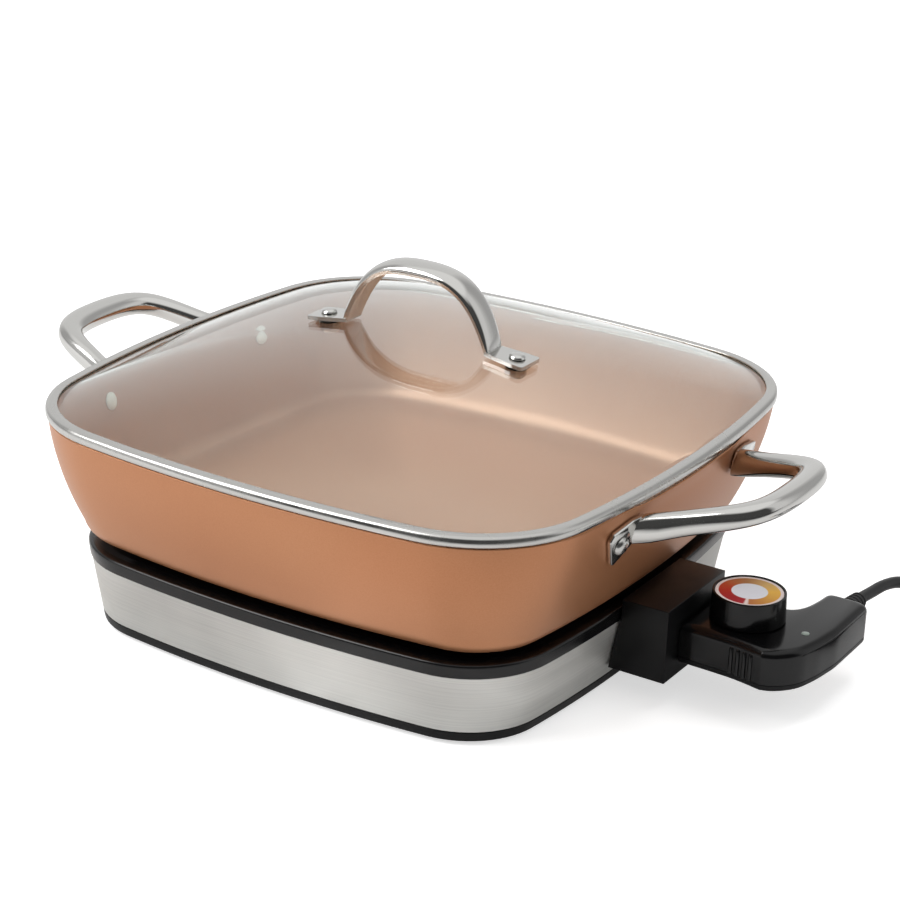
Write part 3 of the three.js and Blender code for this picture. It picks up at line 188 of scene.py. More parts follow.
def flowing(knots: Sequence[Vector], steps: int) -> list[Vector]:
    """Runs a centripetal Catmull-Rom curve through knots.

    Args:
        knots: Points on the way.
        steps: Segments between two knots.

    Returns:
        The curve's points.
    """
    ends = [knots[0] * 2 - knots[1], *knots, knots[-1] * 2 - knots[-2]]
    points = []
    for p0, p1, p2, p3 in zip(ends, ends[1:], ends[2:], ends[3:]):
        t1 = (p1 - p0).length ** 0.5
        t2 = t1 + (p2 - p1).length ** 0.5
        t3 = t2 + (p3 - p2).length ** 0.5
        for k in range(steps):
            t = mix(t1, t2, k / steps)
            a1 = p0.lerp(p1, t / t1)
            a2 = p1.lerp(p2, (t - t1) / (t2 - t1))
            a3 = p2.lerp(p3, (t - t2) / (t3 - t2))
            early, late = a1.lerp(a2, t / t2), a2.lerp(a3, (t - t1) / (t3 - t1))
            points.append(early.lerp(late, (t - t1) / (t2 - t1)))
    return [*points, knots[-1]]


@dataclass(frozen=True)
class BowedSquare:
    """A square with bowed sides whose side arcs meet the corner arcs on common tangents.

    Attributes:
        half: Half its width.
        corner: Radius of its corners.
        side: Radius of its sides.
    """

    half: float
    corner: float
    side: float

    def grown(self, step: float) -> "BowedSquare":
        """Moves the whole outline outwards by a step."""
        return BowedSquare(self.half + step, self.corner + step, self.side + step)

    def arcs(self) -> list[tuple[Vector, float, int]]:
        """Lists the arcs from the middle of the +X side all the way round.

        Returns:
            Each arc's centre, angle and number of segments.
        """
        reach = self.side - self.half
        centre = (math.sqrt(2 * (self.side - self.corner) ** 2 - reach ** 2) - reach) / 2
        turn = math.atan2(centre, centre + reach)
        found: list[tuple[Vector, float, int]] = []
        for quarter in range(4):
            turned = Matrix.Rotation(quarter * math.pi / 2, 3, "Z")
            found += [(turned @ Vector((-reach, 0, 0)), turn, SIDE_STEPS),
                      (turned @ Vector((centre, centre, 0)), math.pi / 2 - 2 * turn, CORNER_STEPS),
                      (turned @ Vector((0, -reach, 0)), turn, SIDE_STEPS)]
        return found


class Blank:
    """A workpiece in millimetres about the base's middle."""

    def __init__(self) -> None:
        """Starts with nothing."""
        self.mesh = bmesh.new()

    @classmethod
    def carried(cls, corners: Sequence[Corner2], square: BowedSquare) -> "Blank":
        """Carries a section that stands at the middle of the +X side all round a square.

        Args:
            corners: The section's half widths, heights and roundings.
            square: The outline that it follows.

        Returns:
            The workpiece.
        """
        made = cls()
        edges = made.chain([(x, 0, z) for x, z in filleted(corners)], closed=True)
        last: list = list(dict.fromkeys(v for e in edges for v in e.verts)) + edges
        for centre, angle, steps in square.arcs():
            last = bmesh.ops.spin(made.mesh, geom=last, cent=centre, axis=UP, angle=angle,
                                  steps=steps)["geom_last"]
        made.weld()
        return made

    @classmethod
    def turned(cls, profile: Sequence[Point2], steps: int = 32) -> "Blank":
        """Turns a profile about the upright axis.

        Args:
            profile: Points of radius and height.
            steps: Segments all round.

        Returns:
            The workpiece.
        """
        made = cls()
        edges = made.chain([(radius, 0, height) for radius, height in profile])
        geom = list(dict.fromkeys(v for e in edges for v in e.verts)) + edges
        bmesh.ops.spin(made.mesh, geom=geom, cent=(0, 0, 0), axis=UP, angle=FULL_TURN,
                       steps=steps, use_merge=True)
        made.weld()
        return made

    @classmethod
    def box(cls, low: Sequence[float], high: Sequence[float]) -> "Blank":
        """Makes a box between its lowest and its highest corner."""
        made, a, b = cls(), Vector(low), Vector(high)
        place = Matrix.Translation((a + b) / 2) @ Matrix.Diagonal((*(b - a), 1))
        bmesh.ops.create_cube(made.mesh, size=1, matrix=place)
        return made

    @classmethod
    def slab(cls, outline: Sequence[Point2], low: float, high: float) -> "Blank":
        """Raises a flat outline from one height to another."""
        made = cls()
        face = made.cap(made.chain([(x, y, low) for x, y in outline], closed=True))
        raised = bmesh.ops.extrude_face_region(made.mesh, geom=[face])["geom"]
        bmesh.ops.translate(made.mesh, vec=UP * (high - low),
                            verts=[g for g in raised if isinstance(g, BMVert)])
        return made

    @classmethod
    def skinned(cls, sections: Iterable[Sequence[Sequence[float]]]) -> "Blank":
        """Skins closed sections one after another and fills both ends."""
        made = cls()
        rings = [made.chain(points, closed=True) for points in sections]
        made.bridge(rings)
        made.cap(rings[0])
        made.cap(rings[-1])
        return made

    def chain(self, points: Iterable[Sequence[float]], closed: bool = False) -> list[BMEdge]:
        """Draws points joined by edges.

        Args:
            points: The points.
            closed: Whether the last joins the first.

        Returns:
            The edges.
        """
        dots = [self.mesh.verts.new(p) for p in points]
        pairs = list(zip(dots, dots[1:])) + ([(dots[-1], dots[0])] if closed else [])
        return [self.mesh.edges.new(pair) for pair in pairs]

    def ring(self, square: BowedSquare, height: float) -> list[BMEdge]:
        """Draws a bowed square at a height.

        Args:
            square: The outline.
            height: Its height.

        Returns:
            The ring's edges.
        """
        first = self.mesh.verts.new((square.half, 0, height))
        dots, last = [first], [first]
        for centre, angle, steps in square.arcs():
            before = set(self.mesh.verts)
            spun = bmesh.ops.spin(self.mesh, geom=last, cent=centre, axis=UP, angle=angle,
                                  steps=steps)["geom_last"]
            last = [g for g in spun if isinstance(g, BMVert)]
            dots += [v for v in self.mesh.verts if v not in before]
        bmesh.ops.remove_doubles(self.mesh, verts=dots, dist=RING_WELD)
        return list(dict.fromkeys(e for v in dots if v.is_valid for e in v.link_edges))

    def bridge(self, rings: Sequence[Sequence[BMEdge]], material: int = 0) -> None:
        """Skins rings one after another.

        Args:
            rings: Each ring's edges, in order.
            material: Index of the finish of the faces.
        """
        for low, high in zip(rings, rings[1:]):
            for face in bmesh.ops.bridge_loops(self.mesh, edges=[*low, *high])["faces"]:
                face.material_index = material

    def cap(self, ring: Sequence[BMEdge], material: int = 0) -> BMFace:
        """Fills a ring with one face.

        Args:
            ring: The ring's edges.
            material: Index of the finish of the face.

        Returns:
            The face.
        """
        face = bmesh.ops.contextual_create(self.mesh, geom=list(ring))["faces"][0]
        face.material_index = material
        return face

    def soften(self, width: float, segments: int, least: float,
               where: Callable[[BMEdge], bool] = lambda edge: True) -> None:
        """Rounds the edges that are sharper than an angle.

        Args:
            width: How far the rounding reaches.
            segments: Segments in it.
            least: Least angle between an edge's faces, in degrees.
            where: Which edges it takes.
        """
        self.mesh.normal_update()
        sharp = [e for e in self.mesh.edges if len(e.link_faces) == 2
                 and e.calc_face_angle(0) > math.radians(least) and where(e)]
        bmesh.ops.bevel(self.mesh, geom=sharp, offset=width, offset_type="OFFSET",
                        affect="EDGES", segments=segments, profile=0.5, material=-1,
                        clamp_overlap=True)

    def weld(self) -> None:
        """Merges points that coincide."""
        bmesh.ops.remove_doubles(self.mesh, verts=self.mesh.verts[:], dist=WELD)

    def move(self, matrix: Matrix) -> "Blank":
        """Places the whole workpiece by a matrix."""
        bmesh.ops.transform(self.mesh, matrix=matrix, verts=self.mesh.verts[:])
        return self

    def shift(self, x: float, y: float) -> "Blank":
        """Moves the whole workpiece over the worktop."""
        return self.move(Matrix.Translation((x, y, 0)))

    def aim(self, point: Vector, direction: Vector) -> "Blank":
        """Lays a piece made about the upright axis at a point, along a direction."""
        turned = UP.rotation_difference(direction).to_matrix().to_4x4()
        return self.move(Matrix.Translation(point) @ turned)

    def lay(self, point: Vector, axes: Sequence[Vector]) -> "Blank":
        """Lays the workpiece at a point, its X, Y and Z along three directions."""
        return self.move(Matrix.Translation(point) @ Matrix(axes).transposed().to_4x4())

    def outward(self) -> None:
        """Merges points that coincide and turns all faces outwards."""
        self.weld()
        bmesh.ops.recalc_face_normals(self.mesh, faces=self.mesh.faces[:])

    def finished(self, name: str) -> bpy.types.Object:
        """Makes the workpiece a Blender object in the scene."""
        data = bpy.data.meshes.new(name)
        self.mesh.to_mesh(data)
        self.mesh.free()
        made = bpy.data.objects.new(name, data)
        bpy.context.scene.collection.objects.link(made)
        return made

    def combine(self, other: "Blank", operation: str) -> "Blank":
        """Cuts another workpiece out of this one, or joins it on.

        Args:
            other: The other workpiece.
            operation: DIFFERENCE or UNION.

        Returns:
            A workpiece of the result.
        """
        self.outward()
        other.outward()
        mine, theirs = self.finished("workpiece"), other.finished("workpiece")
        step = mine.modifiers.new("combine", "BOOLEAN")
        step.operation, step.object, step.solver = operation, theirs, "EXACT"
        result = Blank()
        evaluated = mine.evaluated_get(bpy.context.evaluated_depsgraph_get())
        result.mesh.from_mesh(evaluated.to_mesh())
        evaluated.to_mesh_clear()
        for loose in (mine, theirs):
            data = loose.data
            bpy.data.objects.remove(loose)
            bpy.data.meshes.remove(data)
        return result

    def piece(self, name: str, body: Body, finishes: Sequence[Material], slot: str,
              replaces: Sequence[str] = (), crease: float = 35) -> bpy.types.Object:
        """Turns the workpiece into a piece of the skillet.

        Args:
            name: Name of the piece.
            body: Body that it rides on.
            finishes: Its materials, by index.
            slot: The record's material slot; not used.
            replaces: The CAD nodes that it stands for.
            crease: Angle past which an edge stays sharp, in degrees.

        Returns:
            The piece.
        """
        self.outward()
        self.move(Matrix.Translation(MIDDLE) @ Matrix.Scale(MM, 4))
        made = self.finished(name)
        for finish in finishes:
            made.data.materials.append(finish)
        made.data.polygons.foreach_set("use_smooth", [True] * len(made.data.polygons))
        made.data.set_sharp_from_angle(angle=math.radians(crease))
        settle(made, body, replaces)
        return made


def settle(piece: bpy.types.Object, body: Body, replaces: Sequence[str]) -> None:
    """Puts a piece on its body and hides the CAD nodes that it stands for.

    Args:
        piece: The piece.
        body: Body that it rides on.
        replaces: The CAD nodes that it stands for.
    """
    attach(piece, body.value)
    if replaces:
        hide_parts(*replaces)
    log.info("%s rides on %s", piece.name, body.value)


def dress(finish: Material, *nodes: str) -> None:
    """Gives CAD nodes a finish."""
    for name in nodes:
        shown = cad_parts[name]
        shown.data.materials.clear()
        shown.data.materials.append(finish)
        log.info("%s keeps its CAD shape", name)


# Finishes


def linear(colour: str) -> tuple[float, float, float, float]:
    """Turns an sRGB hex colour to linear.

    Args:
        colour: Such as #B4B4B1.

    Returns:
        Linear red, green, blue and an alpha of 1.
    """
    parts = [int(colour[i:i + 2], 16) / 255 for i in (1, 3, 5)]
    red, green, blue = (c / 12.92 if c <= 0.04045 else ((c + 0.055) / 1.055) ** 2.4 for c in parts)
    return red, green, blue, 1.0


def add_node(tree: bpy.types.NodeTree, kind: str, inputs: dict | None = None,
             **settings: object) -> bpy.types.Node:
    """Adds a node with its settings and links.

    Args:
        tree: The node tree.
        kind: The node's type.
        inputs: Values or sockets for its inputs, by name or index.
        settings: Its own settings.

    Returns:
        The node.
    """
    made = tree.nodes.new(kind)
    for name, value in settings.items():
        setattr(made, name, value)
    for name, value in (inputs or {}).items():
        if isinstance(value, NodeSocket):
            tree.links.new(value, made.inputs[name])
        else:
            made.inputs[name].default_value = value
    return made


class Graph:
    """A node tree in the making."""

    def __init__(self, tree: bpy.types.NodeTree) -> None:
        """Starts on a tree."""
        self.tree = tree

    def add(self, kind: str, inputs: dict | None = None, **settings: object) -> bpy.types.Node:
        """Adds a node of a kind named without its ShaderNode."""
        return add_node(self.tree, f"ShaderNode{kind}", inputs, **settings)

    def maths(self, operation: str, *values: NodeSocket | float, clamp: bool = False) -> NodeSocket:
        """Works out an operation on values or sockets."""
        inputs = dict(enumerate(values))
        return self.add("Math", inputs, operation=operation, use_clamp=clamp).outputs[0]

    def remap(self, value: NodeSocket, start: float, end: float,
              low: float = 0.0, high: float = 1.0) -> NodeSocket:
        """Maps start..end onto low..high and clamps it."""
        inputs = {"Value": value, "From Min": start, "From Max": end, "To Min": low, "To Max": high}
        return self.add("MapRange", inputs).outputs[0]

    def ramp(self, value: NodeSocket, stops: Iterable[tuple[float, Sequence[float]]]) -> NodeSocket:
        """Colours a value of 0..1 by stops of place and linear colour."""
        made, stops = self.add("ValToRGB", {0: value}), list(stops)
        elements = made.color_ramp.elements
        while len(elements) < len(stops):
            elements.new(0.5)
        for element, (position, colour) in zip(elements, stops):
            element.position, element.color = position, colour
        return made.outputs[0]

    def parts(self, vector: NodeSocket) -> Sequence[NodeSocket]:
        """Splits a vector into X, Y and Z."""
        return self.add("SeparateXYZ", {0: vector}).outputs

    def blend(self, share: NodeSocket, first: bpy.types.Node,
              second: bpy.types.Node) -> bpy.types.Node:
        """Blends two shaders by a share."""
        return self.add("MixShader", {0: share, 1: first.outputs[0], 2: second.outputs[0]})

    def light(self, kind: str, strength: NodeSocket | float) -> bpy.types.Node:
        """Adds a white Emission or Background of a strength."""
        return self.add(kind, {"Color": (1, 1, 1, 1), "Strength": strength})


class Recipe(Graph):
    """A material in the making: its tree, its Principled shader and the usual patterns."""

    def __init__(self, name: str, colour: str, roughness: float, metallic: float = 0.0,
                 **more: float) -> None:
        """Starts a material.

        Args:
            name: Its name.
            colour: Its base colour as sRGB hex.
            roughness: Its roughness.
            metallic: 1 for bare metal.
            more: Other sockets of the shader, with underscores for spaces.
        """
        self.material = bpy.data.materials.new(name)
        self.material.use_nodes = True
        super().__init__(self.material.node_tree)
        self.shader = self.tree.nodes["Principled BSDF"]
        self.roughness = roughness
        sockets = {"Base_Color": linear(colour), "Roughness": roughness, "Metallic": metallic,
                   **more}
        for socket, value in sockets.items():
            self.shader.inputs[socket.replace("_", " ")].default_value = value
        self.place = self.add("TexCoord").outputs["Object"]

    def scaled(self, spacing: Sequence[float], centre: Sequence[float] = (0, 0, 0)) -> NodeSocket:
        """Stretches Object coordinates so that one unit is a spacing in millimetres.

        Args:
            spacing: The spacing along X, Y and Z.
            centre: Where the pattern's middle is, in metres in the row frame.

        Returns:
            The vector.
        """
        scale = [1 / (step * MM) for step in spacing]
        shift = [-c * s for c, s in zip(centre, scale)]
        inputs = {"Vector": self.place, "Location": shift, "Scale": scale}
        return self.add("Mapping", inputs).outputs[0]

    def noise(self, spacing: float | Sequence[float], detail: float = 2.0,
              distortion: float = 0.0) -> NodeSocket:
        """Gives noise of a spacing in millimetres, the same on each axis or one for each."""
        spacings = (spacing,) * 3 if isinstance(spacing, (int, float)) else spacing
        inputs = {"Vector": self.scaled(spacings), "Scale": 1.0, "Detail": detail,
                  "Distortion": distortion}
        return self.add("TexNoise", inputs).outputs["Fac"]

    def between(self, value: NodeSocket, low: float, high: float,
                start: float = 0.3, end: float = 0.7) -> NodeSocket:
        """Maps a noise value onto a range."""
        return self.remap(value, start, end, low, high)

    def tint(self, share: NodeSocket, low: str | NodeSocket, high: str | NodeSocket) -> NodeSocket:
        """Blends two colours by a share."""
        a, b = (linear(c) if isinstance(c, str) else c for c in (low, high))
        return self.add("Mix", {0: share, 6: a, 7: b}, data_type="RGBA").outputs[2]

    def drive(self, **links: NodeSocket) -> None:
        """Links sockets to the shader, with underscores for spaces."""
        for socket, source in links.items():
            self.tree.links.new(source, self.shader.inputs[socket.replace("_", " ")])

    def wear(self, value: NodeSocket, low: float, high: float) -> None:
        """Lets the roughness wander between two shares of itself."""
        self.drive(Roughness=self.between(value, self.roughness * low, self.roughness * high))

    def bump(self, height: NodeSocket, depth: float, strength: float) -> None:
        """Gives the surface relief of a depth in millimetres."""
        inputs = {"Height": height, "Distance": depth * MM, "Strength": strength}
        self.drive(Normal=self.add("Bump", inputs).outputs[0])


@dataclass(frozen=True)
class Mirror:
    """Stainless steel, polished: sharp reflections with faint finger marks."""

    name: str
    colour: str = "#CFCECB"
    roughness: float = 0.09
    relief: float = 0.0015
    marks: float = 26
    hairlines: tuple[float, float, float] = (9, 0.9, 0.9)

    def make(self) -> Material:
        """Builds the material."""
        recipe = Recipe(self.name, self.colour, self.roughness, 1.0)
        recipe.wear(recipe.noise(self.marks, 3.0, 0.4), 0.7, 1.7)
        recipe.bump(recipe.noise(self.hairlines), self.relief, 0.5)
        return recipe.material


@dataclass(frozen=True)
class Brushed:
    """Stainless steel brushed along the sides: fine level lines spread each highlight upright, and
    large clouds in its colour are painted reflection gradations.
    """

    name: str
    colour: str = "#DEDEDA"
    grain_and_reflection_dark: str = "#C4C4C1"
    roughness: float = 0.38
    anisotropy: float = 0.9
    relief: float = 0.006
    lines: tuple[float, float, float] = (70, 70, 0.5)
    # Spacing of the large clouds in the colour: painted reflection gradations, not a tone of the
    # steel.
    clouds: tuple[float, float, float] = (45, 45, 60)

    def make(self) -> Material:
        """Builds the material."""
        recipe = Recipe(self.name, self.colour, self.roughness, 1.0, Anisotropic=self.anisotropy)
        lines = recipe.noise(self.lines, 4.0)
        # The colour follows the fine brushing lines, which are real grain, plus the large clouds,
        # which are painted reflection gradations; its low end is the darker colour.
        mixed = recipe.maths("ADD", lines, recipe.noise(self.clouds, 1.0))
        recipe.drive(Base_Color=recipe.tint(recipe.between(mixed, 0.0, 1.0, 0.7, 1.3),
                                            self.grain_and_reflection_dark, self.colour))
        recipe.wear(lines, 0.85, 1.3)
        recipe.bump(lines, self.relief, 0.6)
        recipe.drive(Tangent=recipe.add("Tangent", direction_type="RADIAL", axis="Z").outputs[0])
        return recipe.material


@dataclass(frozen=True)
class Coated:
    """Aluminium with a satin coat: a fine mica grain over slow clouds of colour."""

    name: str
    colour: str
    deep: str
    roughness: float = 0.4
    metallic: float = 0.6
    grain: float = 0.7
    relief: float = 0.01
    clouds: tuple[float, float, float] = (90, 90, 60)

    def make(self) -> Material:
        """Builds the material."""
        recipe = Recipe(self.name, self.colour, self.roughness, self.metallic,
                        Coat_Weight=0.12, Coat_Roughness=0.3)
        grain = recipe.noise(self.grain)
        mixed = recipe.maths("ADD", grain, recipe.noise(self.clouds, 1.0))
        recipe.drive(Base_Color=recipe.tint(recipe.between(mixed, 0.0, 1.0, 0.6, 1.4),
                                            self.deep, self.colour))
        recipe.wear(grain, 0.9, 1.12)
        recipe.bump(grain, self.relief, 0.5)
        return recipe.material


@dataclass(frozen=True)
class Moulded:
    """A moulded plastic or rubber: a faint grain and slow waviness that break up reflections."""

    name: str
    colour: str
    roughness: float
    grain: float
    relief: float
    specular: float = 0.5
    waves: float = 18

    def make(self) -> Material:
        """Builds the material."""
        recipe = Recipe(self.name, self.colour, self.roughness, 0.0,
                        Specular_IOR_Level=self.specular)
        recipe.wear(recipe.noise(self.waves, 3.0), 0.85, 1.2)
        recipe.bump(recipe.noise(self.grain), self.relief, 0.6)
        return recipe.material


@dataclass(frozen=True)
class Plain:
    """A plain metal or ceramic: a soft grain and slightly uneven colour."""

    name: str
    colour: str
    deep: str
    roughness: float
    metallic: float = 1.0
    grain: float = 1.2
    relief: float = 0.01
    clouds: float = 24

    def make(self) -> Material:
        """Builds the material."""
        recipe = Recipe(self.name, self.colour, self.roughness, self.metallic)
        share = recipe.between(recipe.noise(self.clouds), 0.0, 1.0)
        recipe.drive(Base_Color=recipe.tint(share, self.deep, self.colour))
        grain = recipe.noise(self.grain, 3.0)
        recipe.wear(grain, 0.85, 1.15)
        recipe.bump(grain, self.relief, 0.5)
        return recipe.material


@dataclass(frozen=True)
class Glass:
    """Tempered soda-lime glass, polished: clear, with a faint green body and a film of haze."""

    name: str
    colour: str = "#F4FAF7"
    shadow: str = "#E9F1EE"
    haze: float = 0.02
    patches: float = 40

    def make(self) -> Material:
        """Builds the material."""
        recipe = Recipe(self.name, self.colour, 0.0, 0.0, IOR=1.5, Transmission_Weight=1.0)
        recipe.drive(Roughness=recipe.between(recipe.noise(self.patches), 0.0, self.haze))
        clear = recipe.add("BsdfTransparent", {"Color": linear(self.shadow)})
        lamps = recipe.add("LightPath").outputs["Is Shadow Ray"]
        seen = recipe.blend(lamps, recipe.shader, clear)
        output = recipe.tree.nodes["Material Output"]
        recipe.tree.links.new(seen.outputs[0], output.inputs["Surface"])
        return recipe.material


@dataclass(frozen=True)
class DialPrint:
    """A printed disc: a pale rim, a heat scale from red to yellow and a white middle.

    Attributes:
        name: Name of the material.
        centre: The disc's middle in metres.
        rim: Radius at which the pale rim ends and the scale begins, in millimetres.
        inner: Radius at which the scale ends.
        blur: Half the width over which two colours meet.
        pale: Colour of the rim.
        middle: Colour of the middle.
        scale: The scale's colours, by share of a turn.
    """

    name: str
    centre: Vector
    rim: float = 14.9
    inner: float = 8.8
    blur: float = 0.15
    pale: str = "#E9DAD6"
    middle: str = "#E4E6EE"
    scale: tuple[tuple[float, str], ...] = (
        (0.0, "#B8421F"), (0.088, "#B02A1C"), (0.2, "#A01C24"), (0.285, "#A8242C"),
        (0.295, "#E9D9D2"), (0.308, "#E9D9D2"), (0.318, "#B9703A"), (0.42, "#CF9038"),
        (0.588, "#E6B23E"), (0.7, "#CFA65E"), (0.838, "#A8703C"), (0.93, "#B45F30"),
        (1.0, "#B8421F"))

    def make(self) -> Material:
        """Builds the material."""
        recipe = Recipe(self.name, "#F2ECE6", 0.4, 0.0, Specular_IOR_Level=0.2)
        x, y, _ = recipe.parts(recipe.scaled((1, 1, 1), self.centre))
        flat = recipe.add("CombineXYZ", {0: x, 1: y}).outputs[0]
        reach = recipe.add("VectorMath", {0: flat}, operation="LENGTH").outputs["Value"]
        around = recipe.remap(recipe.maths("ARCTAN2", y, x), -math.pi, math.pi)
        scale = recipe.ramp(around, [(place, linear(colour)) for place, colour in self.scale])
        in_scale, in_middle = (recipe.remap(reach, radius + self.blur, radius - self.blur)
                               for radius in (self.rim, self.inner))
        ring = recipe.tint(in_scale, self.pale, scale)
        recipe.drive(Base_Color=recipe.tint(in_middle, ring, self.middle))
        return recipe.material


class Palette:
    """The skillet's finishes, made once and shared."""

    def __init__(self) -> None:
        """Makes every finish."""
        self.band = Brushed("brushed_stainless_band").make()
        self.rolled = Mirror("rolled_stainless_rim", "#C4C3C0", 0.2, 0.0008).make()
        self.polished = Mirror("polished_stainless").make()
        self.copper = Coated("satin_copper_coat", "#C58A62", "#B97B53").make()
        self.lining = Coated("ceramic_nonstick_lining", "#BE917A", "#B38570", 0.42, 0.35,
                             0.9).make()
        self.edge = Plain("machined_aluminium_edge", "#D2D0CC", "#C4C2BE", 0.25).make()
        self.gloss = Moulded("gloss_black_phenolic", "#0B0B0C", 0.16, 1.4, 0.006, 0.35).make()
        self.rim = Moulded("moulded_black_rim", "#0C0C0D", 0.22, 1.4, 0.006, 0.42).make()
        self.satin = Moulded("satin_black_phenolic", "#101011", 0.34, 0.7, 0.012, 0.22).make()
        self.rubber = Moulded("black_rubber", "#1C1C1D", 0.6, 0.5, 0.03).make()
        self.vinyl = Moulded("black_vinyl_cord", "#161617", 0.42, 0.9, 0.03).make()
        self.lens = Moulded("pale_lens_plastic", "#8E9A92", 0.15, 1.5, 0.0).make()
        self.white = Plain("white_rivet_coat", "#F1EEE8", "#E6E2DA", 0.35, 0.0).make()
        self.plain_steel = Plain("zinc_plated_steel", "#A5A5A3", "#919190", 0.45).make()
        self.cast = Plain("cast_aluminium_plate", "#9C9C9A", "#868684", 0.55, 1.0, 1.6, 0.03).make()
        self.sheath = Plain("heated_steel_sheath", "#6E6A66", "#57534F", 0.55).make()
        self.ceramic = Plain("steatite_ceramic", "#DAD3C5", "#CFC7B7", 0.7, 0.0).make()
        self.brass = Plain("contact_brass", "#B8974E", "#A5853F", 0.32).make()
        self.glass = Glass("tempered_glass").make()


# Studio


@dataclass(frozen=True)
class Lamp:
    """A soft square lamp: its width and place in millimetres, and whether reflections show it."""

    name: str
    watts: float
    width: float
    place: Point3
    reflected: bool = False


